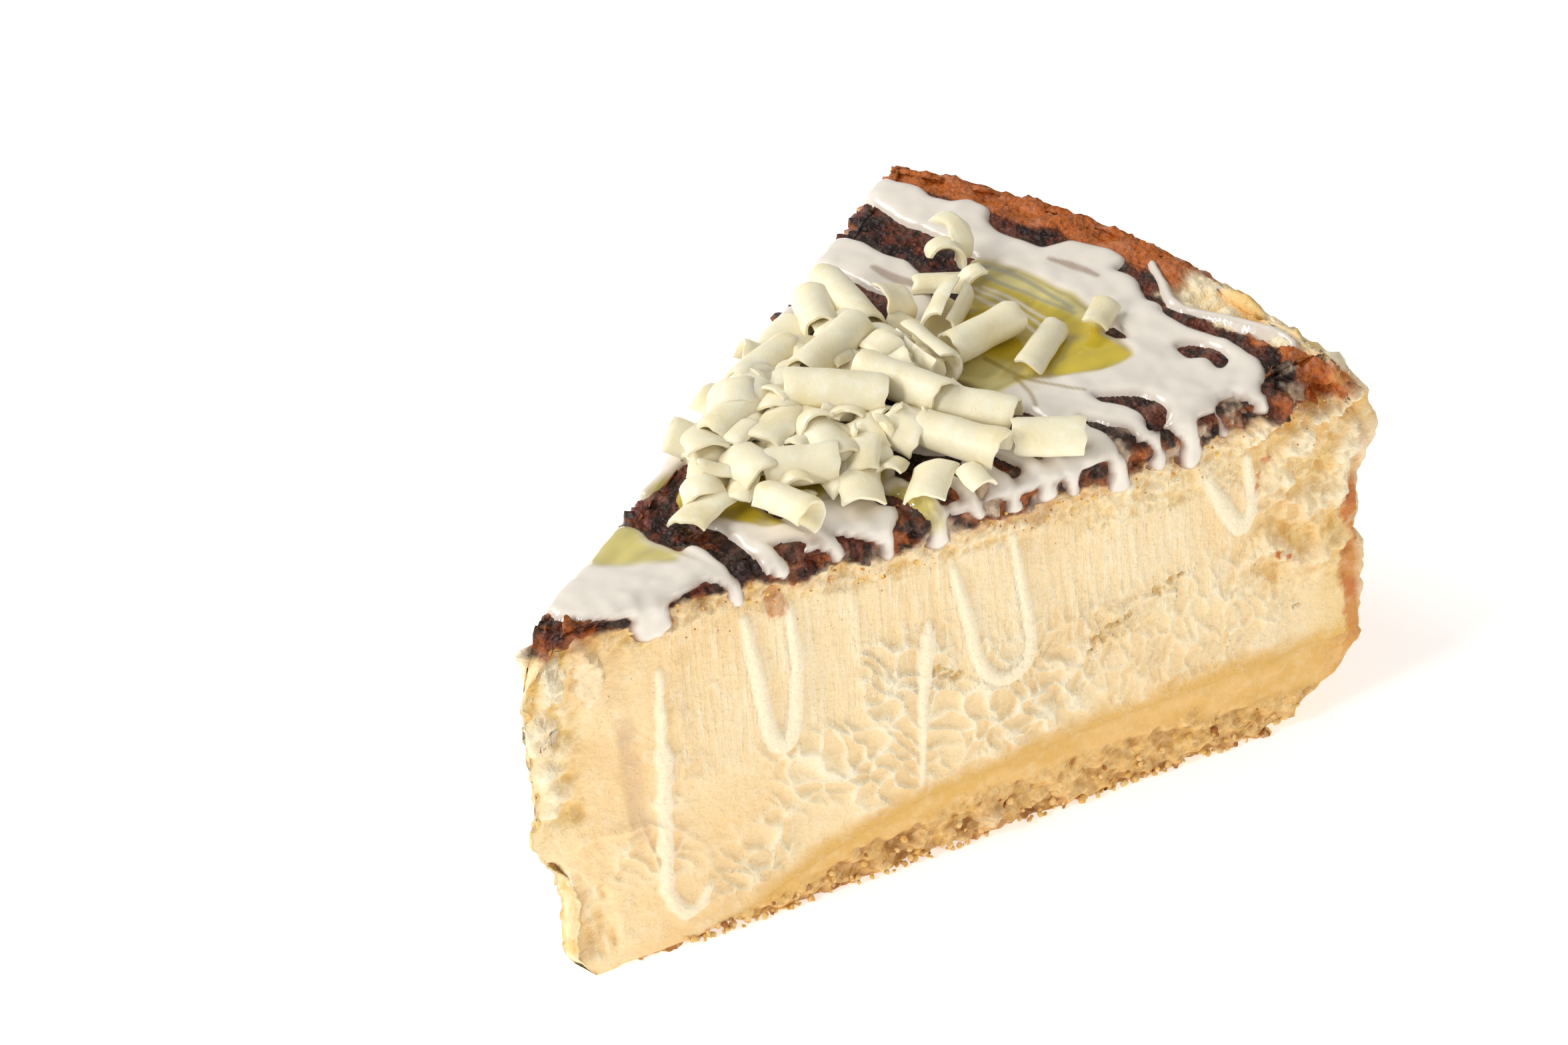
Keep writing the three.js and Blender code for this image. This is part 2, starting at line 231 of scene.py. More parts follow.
def face_normals(points, quads):
    """Unit normals at the points: the crosses of each quad's diagonals, added up at its corners."""
    a, b, c, d = (points[quads[:, k]] for k in range(4))
    cross = np.cross(c - a, d - b)
    total = np.zeros_like(points)
    for k in range(4):
        for axis in range(3):
            total[:, axis] += np.bincount(quads[:, k], cross[:, axis], len(points))
    return total / np.maximum(np.linalg.norm(total, axis=1), 1e-9)[:, None]


def around():
    """Columns of a wall, once round the slice: run is 0 at the point and 1 at the rind, turn is -1 on the
    near cut face and 1 on the far one."""
    f = np.arange(SIDE_STEPS) / SIDE_STEPS
    e = np.arange(END_STEPS) / END_STEPS
    run = np.concatenate((f, np.ones(END_STEPS), 1 - f, np.zeros(END_STEPS)))
    turn = np.concatenate((-np.ones(SIDE_STEPS), 2 * e - 1, np.ones(SIDE_STEPS), 1 - 2 * e))
    return run, turn


def slice_wall(levels, bottom, top, start=-5.0):
    """Wall round the slice. A point at a level lies that share of the way from bottom(r) to top(r, angle),
    at r = tip + (rind - tip) run, where tip and rind are the profiles' distances at its own height. A few
    rounds settle height and distance, and the corners are rounded by averaging neighbours."""
    run, turn = around()
    angle = turn * HALF_ANGLE
    z = np.zeros((len(levels), run.size)) + 20
    for _ in range(6):
        inner = np.maximum(tip_distance(z), start)
        r = inner + (rind_distance(z) - inner) * run
        low = bottom(r)
        z = low + (top(r, angle) - low) * levels[:, None]
    p = np.stack((r * np.cos(angle), r * np.sin(angle), z), -1)
    for _ in range(3):
        p[..., :2] = (np.roll(p, 1, 1) + 2 * p + np.roll(p, -1, 1))[..., :2] / 4
    return p


def wall_quads(rows, columns):
    """Quads of a closed wall with that many rows of points."""
    i, j = np.meshgrid(np.arange(rows - 1), np.arange(columns), indexing="ij")
    after = (j + 1) % columns
    return np.stack((i * columns + j, i * columns + after, (i + 1) * columns + after, (i + 1) * columns + j),
                    -1).reshape(-1, 4)


def grid_quads(index):
    """Quads of a grid of point numbers."""
    return np.stack((index[:-1, :-1], index[1:, :-1], index[1:, 1:], index[:-1, 1:]), -1).reshape(-1, 4)


def covered(loop, first):
    """Surface inside a loop of points, by Coons's formula: the sum of the two ruled surfaces between
    opposite sides, less the one through the four corners. Gives its points and their numbers, where those
    of the loop start at first and new ones follow it."""
    n, m = SIDE_STEPS, END_STEPS
    total = 2 * (n + m)
    near = np.arange(n + 1)
    rind = n + np.arange(m + 1)
    far = n + m + np.arange(n, -1, -1)
    tip = (2 * n + m + np.arange(m, -1, -1)) % total
    u = np.linspace(0, 1, n + 1)[:, None, None]
    v = np.linspace(0, 1, m + 1)[None, :, None]
    ruled = (1 - v) * loop[near][:, None] + v * loop[far][:, None]
    ruled = ruled + (1 - u) * loop[tip][None] + u * loop[rind][None]
    corners = (1 - u) * ((1 - v) * loop[near[0]] + v * loop[far[0]])
    corners = corners + u * ((1 - v) * loop[near[-1]] + v * loop[far[-1]])
    surface = ruled - corners
    number = np.zeros((n + 1, m + 1), int)
    inner = np.arange((n - 1) * (m - 1)).reshape(n - 1, m - 1)
    number[1:-1, 1:-1] = first + total + inner
    number[:, 0] = first + near
    number[:, -1] = first + far
    number[0, :] = first + tip
    number[-1, :] = first + rind
    return surface[1:-1, 1:-1].reshape(-1, 3), number


def closed_sheet(upper, lower, keep):
    """Closed body between two grids of points where keep is set for the grid's quads: the upper quads, the
    lower ones turned over, and a wall along each edge between a kept quad and one that isn't."""
    rows, columns = upper.shape[:2]
    number = np.arange(rows * columns).reshape(rows, columns)
    under = number + rows * columns
    top = grid_quads(number)[keep.ravel()]
    bottom = grid_quads(under)[keep.ravel()][:, ::-1]
    ring = np.pad(keep, 1)
    walls = []
    for axis, flip in ((0, False), (1, True)):
        before = ring[:-1, 1:-1] if axis == 0 else ring[1:-1, :-1]
        after = ring[1:, 1:-1] if axis == 0 else ring[1:-1, 1:]
        for found, turned in ((~before & after, flip), (before & ~after, not flip)):
            i, j = np.nonzero(found)
            a = number[i, j]
            b = number[i + axis, j + 1 - axis]
            quad = np.stack((a, b, b + rows * columns, a + rows * columns), -1)
            walls.append(quad if turned else quad[:, ::-1])
    quads = np.concatenate([top, bottom] + walls)
    points = np.concatenate((upper.reshape(-1, 3), lower.reshape(-1, 3)))
    used, compact = np.unique(quads, return_inverse=True)
    return points[used], compact.reshape(-1, 4), used % (rows * columns)


# The cake's surface
def top_height(p):
    """Height of the browned top: level with slow waves, and 0.8 mm higher at the rim."""
    r = np.hypot(p[:, 0], p[:, 1])
    flat = np.stack((p[:, 0], p[:, 1], 0 * r), -1)
    return CAKE_HEIGHT - 0.4 + 0.8 * smooth(r, 104, 116) + 0.4 * noise(flat, 9, 3) + 0.25 * noise(flat, 21, 4)


def edge_rounding(r):
    """Radius of the edge between the top and a cut face at a distance from the centre."""
    return np.clip(ROUNDING_SHARE * r, 0.8, EDGE_ROUNDING)


def unrolled(p):
    """Plan place of each point once the cut faces are folded up level with the top: a point of the top
    keeps its own, and one over the edge lies as far out as the way to it over the rounded edge is long."""
    r = np.hypot(p[:, 0], p[:, 1])
    radius = edge_rounding(r)
    level = top_height(p)
    plan = p[:, :2].copy()
    for run, out in ((NEAR_RUN, NEAR_OUT), (FAR_RUN, FAR_OUT)):
        inside = -p @ out
        along = p @ run
        drop = level - radius - p[:, 2]
        bend = np.arctan2(radius - inside, np.maximum(-drop, 1e-6)) * radius
        way = np.where(drop > 0, radius * math.pi / 2 + drop, bend)
        place = along[:, None] * run[:2] + (way - radius)[:, None] * out[:2]
        plan = np.where((inside < radius)[:, None], place, plan)
    return plan


def from_view(points):
    """Unrolled places of points read off the photograph on the level of the top: one that lies beyond the
    near edge is a point of the near face, found by sliding it back along SLIDE until it meets that face."""
    p = np.array(points, float)
    beyond = p @ NEAR_OUT[:2]
    depth = np.maximum(beyond / (SLIDE @ NEAR_OUT[:2]), 0)
    foot = p - depth[:, None] * SLIDE
    moved = foot + depth[:, None] * NEAR_OUT[:2]
    return np.where((beyond > 0)[:, None], moved, p)


def on_near_face(s, z):
    """Unrolled place of the near face's point at a distance from the centre and a height."""
    way = CAKE_HEIGHT - z - 0.43 * EDGE_ROUNDING
    return s * NEAR_RUN[:2] + way * NEAR_OUT[:2]


def flowing(points, closed, steps=6):
    """Catmull-Rom curve through the points, with that many steps for each stretch."""
    p = np.array(points, float)
    n = len(p)
    if closed:
        a, b, c, d = (p[(np.arange(n) + k) % n] for k in (-1, 0, 1, 2))
    else:
        full = np.concatenate((2 * p[:1] - p[1:2], p, 2 * p[-1:] - p[-2:-1]))
        a, b, c, d = full[:-3], full[1:-2], full[2:-1], full[3:]
    t = (np.arange(steps) / steps)[None, :, None]
    a, b, c, d = (q[:, None] for q in (a, b, c, d))
    path = 0.5 * (2 * b + (c - a) * t + (2 * a - 5 * b + 4 * c - d) * t**2 + (3 * b - a - 3 * c + d) * t**3)
    path = path.reshape(-1, p.shape[1])
    return path if closed else np.concatenate((path, p[-1:]))


def to_segment(plan, a, b):
    """Distance of plan points from the stretch a to b, and how far along it the nearest point lies, 0 to
    1."""
    run = b - a
    t = np.clip((plan - a) @ run / max(run @ run, 1e-9), 0, 1)
    return np.linalg.norm(plan - a - t[:, None] * run, axis=1), t


def inside_outline(plan, corners):
    """Distance from a closed flowing outline, positive inside it by the rule of odd crossings."""
    path = flowing(corners, True, 4)
    nearest = np.full(len(plan), 99.0)
    inside = np.zeros(len(plan), bool)
    for a, b in zip(path, np.roll(path, -1, 0)):
        nearest = np.minimum(nearest, to_segment(plan, a, b)[0])
        crosses = (a[1] > plan[:, 1]) != (b[1] > plan[:, 1])
        x = a[0] + (plan[:, 1] - a[1]) * (b[0] - a[0]) / (b[1] - a[1] if b[1] != a[1] else 1)
        inside ^= crosses & (plan[:, 0] < x)
    return np.where(inside, nearest, -nearest)


def inside_strand(plan, stations):
    """Distance inside a strand whose stations are (x, y, half its width) from end to end."""
    path = flowing(stations, False, 4)
    depth = np.full(len(plan), -99.0)
    for a, b in zip(path[:-1], path[1:]):
        d, t = to_segment(plan, a[:2], b[:2])
        depth = np.maximum(depth, a[2] + (b[2] - a[2]) * t - d)
    return depth


def merged(a, b, soft=0.7):
    """Larger of two depths, with a fillet where they are about equal."""
    h = np.clip(0.5 + 0.5 * (a - b) / soft, 0, 1)
    return b + (a - b) * h + soft * h * (1 - h)


# What was poured over the top, in plan as seen in the photograph
TIP_POUR = [(8.6, 3.1), (12, 6.2), (18.5, 8), (21, 7.6), (24, 8.6), (28, 9.2), (29, 6), (28.3, 2),
            (28.8, -5), (30, -8), (31, -10.5), (32.6, -10.8), (34.2, -9), (35.2, -5.5), (35, -1), (34.6, 3),
            (36, 6), (38, 8), (42, 9), (43, 2), (42, -6), (42, -12), (41.5, -12.8), (38.5, -10.5),
            (36.3, -10.4), (35.8, -12.5), (34.2, -14.6), (31.5, -14.8), (29.5, -13.2), (26.8, -11.5),
            (26, -9), (23, -8.7), (20, -9), (17, -9.9), (13, -9), (12, -6.8), (10.4, -5), (8.4, -3),
            (8.6, -1.5), (8, 0.6), (8.3, 2.2)]
NEAR_POUR = [(43.5, -9), (46, -9.5), (47, -8), (50, -8.2), (52.5, -10), (53, -13), (52.8, -15),
             (53.6, -16.5), (53, -19), (50.7, -20), (49.3, -22.5), (47.5, -24), (46, -22), (44.6, -20.2),
             (45, -18), (44.5, -15.5), (43.5, -13)]
MIDDLE_POUR = [(44, 12), (50, 14), (60, 13), (66, 8), (64, 0), (62, -8), (57, -12), (50, -10), (45, -6),
               (43, 0), (43, 6)]
FAR_BAND = [(89.7, 33), (93, 34.6), (96.5, 34.8), (97.7, 31), (97.7, 26), (98.3, 21.5), (96.5, 17),
            (93, 12), (88, 8), (85, 4), (84, -1), (86, -6), (87, -10), (82, -9), (80, -4), (81, 2), (83, 8),
            (87, 12), (90, 17), (90.3, 25)]
RIM_POUR = [(107.3, 39.3), (106.2, 36), (105, 31), (105.2, 26), (105.3, 21), (104.8, 17), (104.8, 12),
            (105.2, 6), (105, 0), (104.6, -5), (103.2, -9), (101, -11.5), (100.5, -15), (99, -17),
            (94.5, -16), (91, -13), (88.5, -11), (86.5, -9), (82, -8), (77.5, -9), (78.5, -12), (81, -15),
            (80.6, -18.5), (80.3, -22), (79.5, -26), (80, -29.5), (84, -32), (90, -33.5), (96, -35),
            (101, -36), (104.5, -36.5), (107.8, -33.5), (109.3, -30), (110.2, -25), (109.5, -20),
            (109.8, -15.5), (111, -13), (111.3, -10.5), (114, -6), (114, -2.6), (116.5, -2), (117.3, 1),
            (116.5, 4.5), (115.8, 7.2), (113.5, 8.7), (112, 10), (111.5, 13.5), (111.8, 17), (112.7, 19.5),
            (114.6, 21.5), (115, 25), (112.6, 27), (112.3, 30), (113, 33), (112, 36.5), (111, 39.8)]
SYRUP_POOL = [(85, 5), (89, 7), (94, 9.5), (98, 12), (101, 14), (104.4, 15), (106, 8), (106, 2),
              (105.6, -3), (104, -8), (102, -11), (101.2, -15), (99.5, -18.4), (94, -17.6), (90.6, -15),
              (88, -12.4), (86, -10.4), (80.5, -9.6), (77, -8.4), (75.3, -4), (77, -0.5), (80, -2), (83, 1)]
# Gaps in the icing, where the crust shows
GAPS = [
    [(84.3, -22), (85.2, -24.5), (86.2, -28), (85.5, -30.2), (83.2, -29.7), (83.3, -26), (83.8, -23)],
    [(89, -20.2), (91, -22.2), (92.8, -24.5), (93.4, -27.5), (92.3, -30), (90, -30.9), (88.6, -30),
     (90, -27), (89.8, -24), (88.5, -22)],
    [(105, -20.8), (106.8, -21.8), (107.5, -24.5), (106.8, -28.3), (105, -29.4), (104.2, -28.8),
     (105, -26.2), (104, -24)],
    [(101.6, -11), (103.4, -10.8), (103.4, -13), (102.5, -14.2), (101.6, -13)],
    [(98, -34), (100.8, -34.4), (99.8, -37.7), (98, -38.6), (96.4, -36.8)],
    [(33.2, -4.2), (34.6, -4.6), (34.4, -6.6), (33, -8), (32.6, -7.4), (33.6, -6)],
]
# Strands as (x, y, half the width)
STRANDS = [
    [(38.3, -13.6, 0.9), (41.3, -14, 1.3), (41.9, -17, 1.1), (40, -19.5, 0.8)],
    [(53, -22, 1.2), (57, -22.4, 2.2), (61, -24, 2), (63, -27, 1.2)],
    [(58, -21, 1.4), (66, -24.4, 2.4), (74, -27, 2.6), (82, -29.6, 2.6)],
    [(36, 12, 1.4), (40, 13, 1.6), (45, 14.6, 2), (50, 16.6, 1.4)],
    [(52, 17.4, 1.6), (58, 19.2, 2), (64, 20.8, 2), (71, 23.4, 2.2), (79, 26, 1.6)],
    [(118, -5.5, 0.7), (115, -10, 0.8), (112.4, -14, 0.9), (112.6, -18, 0.8), (114.2, -24, 0.8),
     (115.2, -30, 0.7), (114.6, -33.5, 0.5)],
    [(57, 2, 3), (64, -4, 3), (70, -12, 3), (77, -12, 3)],
    [(30.5, -12, 1.2), (31, -15, 1), (30.4, -16.6, 0.8)],
]
# Fingers over the near edge, as (distance from the centre, lowest point, width)
FINGERS = [
    (19, 54, 6), (31.2, 53.4, 2.2), (38, 55.2, 2.6), (46, 54.9, 2.4), (53.2, 52.6, 2.2), (60.8, 51.9, 3.4),
    (66.5, 54.2, 2), (72, 52.9, 2.2), (77, 53.6, 2.8), (80.6, 52.4, 1.7), (87.5, 51.2, 3.4),
    (93.8, 51.8, 2.2), (98.6, 51.4, 3.6), (104, 53.6, 1.8), (109.8, 54.6, 2.4),
]
FINGER_REACH = 7.0  # how far in from the edge a finger starts
FINGER_LEAN = 2.5  # how much nearer the point it starts than it ends
ICING_EDGE = 1.8  # how far in from its outline the icing reaches its full height
LIP_RETREAT = 0.55  # how much of each millimetre over the near edge the pours fall short, fingers apart


def icing_depth(plan):
    """How far inside the poured icing's outline each unrolled place lies, negative outside it."""
    depth = np.full(len(plan), -99.0)
    for outline in (TIP_POUR, NEAR_POUR, MIDDLE_POUR, FAR_BAND, RIM_POUR, SYRUP_POOL):
        depth = merged(depth, inside_outline(plan, from_view(outline)))
    for strand in STRANDS:
        place = from_view([point[:2] for point in strand])
        stations = [(*xy, point[2]) for xy, point in zip(place, strand)]
        depth = merged(depth, inside_strand(plan, stations))
    depth = depth - LIP_RETREAT * np.maximum(plan @ NEAR_OUT[:2] + 2.4, 0)
    for s, low, width in FINGERS:
        start = (s - FINGER_LEAN) * NEAR_RUN[:2] - FINGER_REACH * NEAR_OUT[:2]
        edge = (s - FINGER_LEAN / 3) * NEAR_RUN[:2] - 1.5 * NEAR_OUT[:2]
        middle = on_near_face(s, (low + CAKE_HEIGHT) / 2)
        end = on_near_face(s, low)
        half = width / 2
        stations = [(*start, half * 1.2), (*edge, half), (*middle, half * 0.8), (*end, half)]
        depth = merged(depth, inside_strand(plan, stations), 0.9)
    for gap in GAPS:
        depth = -merged(-depth, inside_outline(plan, from_view(gap)), 0.4)
    flat = np.concatenate((plan, np.zeros((len(plan), 1))), 1)
    over = smooth(plan @ NEAR_OUT[:2], -4, 1)
    depth = depth + over * (0.45 * noise(flat, 1.7, 63) + 0.5 * noise(flat, 4, 64))
    return depth + 0.22 * noise(flat, 2.6, 61) + 0.3 * noise(flat, 6, 62)


def crust_waves(p):
    """Slow part of the browned top's relief, which the icing follows too."""
    return 0.22 * noise(p, 5, 31) + 0.12 * noise(p, 2.6, 32)


# Materials
class Number:
    """A number socket of a node tree, on which Python's operators add Math nodes."""

    def __init__(self, finish, socket):
        self.finish = finish
        self.socket = socket

    def math(self, operation, *others, swap=False):
        values = (self, *others)[::-1] if swap else (self, *others)
        return self.finish.node("Math", {"operation": operation}, dict(enumerate(values)))

    def __add__(self, other):
        return self.math("ADD", other)

    def __mul__(self, other):
        return self.math("MULTIPLY", other)

    def __rsub__(self, other):
        return self.math("SUBTRACT", other, swap=True)

    __radd__ = __add__
    __rmul__ = __mul__

    def step(self, low, high):
        """0 below low and 1 above high, with a smooth rise between them."""
        return self.finish.node("MapRange", {"interpolation_type": "SMOOTHSTEP"}, {0: self, 1: low, 2: high})


class Finish:
    """A material made of nodes, built up by calls."""

    def __init__(self, name, **constants):
        self.material = bpy.data.materials.new(name)
        self.material.use_nodes = True
        self.tree = self.material.node_tree
        self.tree.nodes.clear()
        self.shader = self.tree.nodes.new("ShaderNodeBsdfPrincipled")
        output = self.tree.nodes.new("ShaderNodeOutputMaterial")
        self.tree.links.new(self.shader.outputs[0], output.inputs["Surface"])
        for socket, value in constants.items():
            self.shader.inputs[socket.replace("_", " ")].default_value = value

    def put(self, socket, value):
        """Links a socket to another, or sets it to a value."""
        if isinstance(value, Number):
            value = value.socket
        if isinstance(value, bpy.types.NodeSocket):
            self.tree.links.new(value, socket)
        else:
            socket.default_value = value

    def node(self, kind, settings=None, values=None, output=0):
        """Adds a node with its settings by name and its inputs by name or number, and gives one output."""
        node = self.tree.nodes.new("ShaderNode" + kind)
        for name, value in (settings or {}).items():
            setattr(node, name, value)
        for name, value in (values or {}).items():
            self.put(node.inputs[name], value)
        return Number(self, node.outputs[output])

    def grain(self, size, detail=2.0, roughness=0.5, stretch=None):
        """Noise from 0 to 1 with features of a size in millimetres, fixed to the object."""
        place = self.node("TexCoord", output="Object")
        if stretch:
            place = self.node("Mapping", None, {"Vector": place, "Scale": stretch})
        values = {"Vector": place, "Scale": 1000 / size, "Detail": detail, "Roughness": roughness}
        return self.node("TexNoise", None, values)

    def lumps(self, size, output="Distance"):
        """Distance to the nearest of points strewn about a size in millimetres apart."""
        place = self.node("TexCoord", output="Object")
        return self.node("TexVoronoi", None, {"Vector": place, "Scale": 1000 / size}, output)

    def mix(self, amount, a, b):
        """Colour b over colour a."""
        return self.node("Mix", {"data_type": "RGBA"}, {0: amount, 6: a, 7: b}, 2)

    def painted(self):
        """The mesh's own paint."""
        return self.node("Attribute", {"attribute_name": "paint"})

    def field(self, name):
        """A number stored on the mesh's points."""
        return self.node("Attribute", {"attribute_name": name}, output="Fac")

    def bump(self, height, strength, distance):
        """Fine relief from a height, as deep as distance in millimetres."""
        values = {"Height": height, "Strength": strength, "Distance": distance / 1000}
        self.put(self.shader.inputs["Normal"], self.node("Bump", None, values))

    def set(self, **links):
        """Feeds the shader's sockets, whose spaces are underscores here, and gives the material."""
        for socket, value in links.items():
            self.put(self.shader.inputs[socket.replace("_", " ")], value)
        return self.material


def opaque(colour):
    """Colour with full cover, as a node's socket takes it."""
    return (*(float(c) for c in colour), 1.0)


def cheese_finish():
    """Baked cream cheese and its browned skin: painted by the mesh, with painted shade in the pores and
    painted highlights on the upright drag lines and coarse lumps of the cut, fine grain and brown specks on
    it too, and wet grains, dark and amber, on the crust."""
    f = Finish("baked cheese", Subsurface_Weight=0.09, Subsurface_Radius=(0.004, 0.0024, 0.001),
               Subsurface_Scale=0.6, IOR=1.36, Coat_Roughness=0.08)
    wet = f.field("wet")
    dragged = f.field("dragged")
    cut = 1 - wet
    grain = f.grain(0.7, 4, 0.6)
    coarse = f.grain(2.2, 3, 0.55)
    drag = f.grain(0.75, 3, 0.55, (1, 1, 0.09))
    pores = f.lumps(0.85).step(0.08, 0.3)
    # Painted shade in the pores of the cut, in golden brown
    shade = f.mix(cut * (1 - pores) * 0.26, f.painted(), opaque(linear(226, 176, 96)))
    # Painted highlights: the cut lighter where its coarse grain and its drag lines stand highest in the bump
    # below
    shade = f.mix(cut * coarse.step(0.5, 0.75) * 0.25, shade, opaque(linear(255, 245, 222)))
    shade = f.mix(cut * dragged * drag.step(0.48, 0.72) * 0.36, shade, opaque(linear(255, 247, 228)))
    spread = f.node("SeparateColor", None, {0: f.lumps(1.5, output="Color")})
    specks = (1 - f.lumps(1.5).step(0.09, 0.14)) * spread.step(0.58, 0.6) * f.field("specks")
    shade = f.mix(specks * 0.85, shade, opaque(linear(176, 98, 40)))
    grit = f.lumps(0.8)
    dark = f.mix(wet * grain.step(0.46, 0.6) * 0.6, shade, opaque(linear(20, 8, 5)))
    warm = f.mix(wet * coarse.step(0.54, 0.68) * 0.4, dark, opaque(linear(136, 58, 22)))
    height = cut * (dragged * drag + coarse * 0.5 + grain * 0.7) + wet * (grit * 0.9 + grain * 0.5)
    f.bump(height, 1, 0.6)
    return f.set(Base_Color=warm, Roughness=f.field("gloss") + grain * 0.1, Coat_Weight=wet * 0.14)


def shortcrust_finish():
    """Baked crumbs: sandy grains of several browns, dry above and matte."""
    f = Finish("shortcrust", IOR=1.36, Subsurface_Weight=0.08, Subsurface_Radius=(0.003, 0.0016, 0.0006),
               Subsurface_Scale=0.5)
    crumbly = f.field("crumbly")
    grain = f.grain(0.6, 4, 0.65)
    tone = f.node("SeparateColor", None, {0: f.lumps(0.9, output="Color")})
    shade = f.mix(tone.step(0.5, 0.9) * (crumbly * 0.3 + 0.15), f.painted(), opaque(linear(252, 220, 160)))
    shade = f.mix(crumbly * grain.step(0.54, 0.7) * 0.4, shade, opaque(linear(166, 100, 46)))
    f.bump(grain * 0.5 + f.lumps(0.9) * (crumbly * 0.6 + 0.1), 0.7, 0.5)
    return f.set(Base_Color=shade, Roughness=grain * 0.2 + 0.55)


def icing_finish():
    """Poured icing and syrup: smooth, glossy and painted by the mesh, with fine bubbles in the syrup."""
    f = Finish("icing and syrup", IOR=1.45, Coat_Roughness=0.04, Subsurface_Weight=0.08,
               Subsurface_Radius=(0.002, 0.0018, 0.0014), Subsurface_Scale=0.5)
    syrup = f.field("syrup")
    ripple = f.grain(3.2, 2, 0.4)
    grit = f.grain(0.5, 2, 0.6)
    shade = f.mix((1 - syrup) * ripple.step(0.5, 0.8) * 0.2, f.painted(), opaque(linear(206, 200, 186)))
    spread = f.node("SeparateColor", None, {0: f.lumps(1.1, output="Color")})
    bubbles = (1 - f.lumps(1.1).step(0.07, 0.12)) * spread.step(0.6, 0.62) * syrup
    shade = f.mix(bubbles * 0.7, shade, opaque(linear(250, 236, 150)))
    f.bump(ripple * 0.8 + grit * 0.04 + bubbles * 0.5, 0.22, 0.45)
    return f.set(Base_Color=shade, Roughness=0.2 - syrup * 0.12 + grit * 0.05, Coat_Weight=syrup * 0.5 + 0.3)


def chocolate_finish():
    """White chocolate: ivory, satin, with fine drag lines and a faint bloom."""
    f = Finish("white chocolate", IOR=1.45, Subsurface_Weight=0.22, Subsurface_Radius=(0.003, 0.0026, 0.0014),
               Subsurface_Scale=0.7, Coat_Roughness=0.3, Coat_Weight=0.08)
    bloom = f.grain(1.6, 3, 0.6)
    fine = f.grain(0.35, 3, 0.6)
    pits = f.lumps(0.9).step(0.05, 0.18)
    shade = f.mix(bloom.step(0.45, 0.75) * 0.35, f.painted(), opaque(linear(255, 252, 236)))
    f.bump(fine * 0.4 + bloom * 0.6 + pits * 0.3, 0.4, 0.3)
    return f.set(Base_Color=shade, Roughness=bloom * 0.25 + 0.3)


# Colours that the pieces are blended with
# Pale cream: painted highlight on raised relief, and the pale colour of drips, flecks and ledges
PALE_CREAM_AND_HIGHLIGHT = linear(255, 243, 214)
# Warm cream: painted shade in hollows of the relief, and slow patches of tone
WARM_CREAM_AND_SHADE = linear(238, 186, 106)
GOLD = linear(246, 205, 116)
# Tan painted shade of the shallow groove by the point, with a tan tint of its own
GROOVE_SHADE_TAN = linear(222, 186, 146)
RIND_GOLD = linear(216, 146, 70)
# Painted shade in the hollows and cavities of the base
HOLLOW_SHADE = linear(150, 92, 42)
PALE_ICING = linear(240, 234, 222)
THIN_ICING = linear(158, 128, 106)
ICING_FILM = linear(208, 182, 154)
SYRUP_OLIVE = linear(136, 112, 8)
SYRUP_PALE = linear(212, 196, 112)
SYRUP_BROWN = linear(104, 62, 12)
MILKY = linear(216, 202, 132)
GREY_STREAK = linear(150, 146, 128)


# The filling
# Pits in the near face and brown spots on it, as (distance from the centre, height, radius)
PITS = [(61, 29.6, 1.1), (62.4, 28.6, 0.8), (60, 30.6, 0.7), (84, 26.8, 1.0), (86.4, 28, 0.8),
        (88.6, 28.6, 0.7), (82.4, 25, 0.6), (93.4, 31, 0.9), (95.4, 31.8, 0.8), (97, 32.8, 0.6),
        (98.5, 13.8, 0.5), (115, 20.5, 0.7)]
BROWN_SPOTS = [(110.4, 46.4, 0.7), (109.2, 44.2, 0.6), (108.6, 42.6, 0.5), (111.6, 30.6, 0.6),
               (113, 30, 0.5), (37, 49.6, 1.6), (36.4, 51.2, 1.5), (45, 50.6, 0.7)]
# Pale flakes near the point, as (distance from the centre, height, half the width, half the height)
PALE_FLAKES = [(4.6, 49.8, 1.6, 3.0), (9.6, 48.6, 2.0, 3.8)]
# How far from the centre the broken foot reaches, as (height, distance)
BROKEN_EDGE = [(0, 12), (1, 11), (8.5, 11.5), (15, 9.5), (20, 4.5), (22, 1), (24, -4)]
FACE_FIELDS = 8  # rows that cut_face gives
# How far the rind stands out over its profile at the near face, as (height, distance)
RIND_BULGE = [(0, 0), (13, 0), (20, 0.8), (24, 2.2), (26.5, 1.8), (31, 0.6), (35, 0.9), (39, -0.8),
              (43.5, 1.4), (50, 1.8), (55, 0.3), (58, 0)]

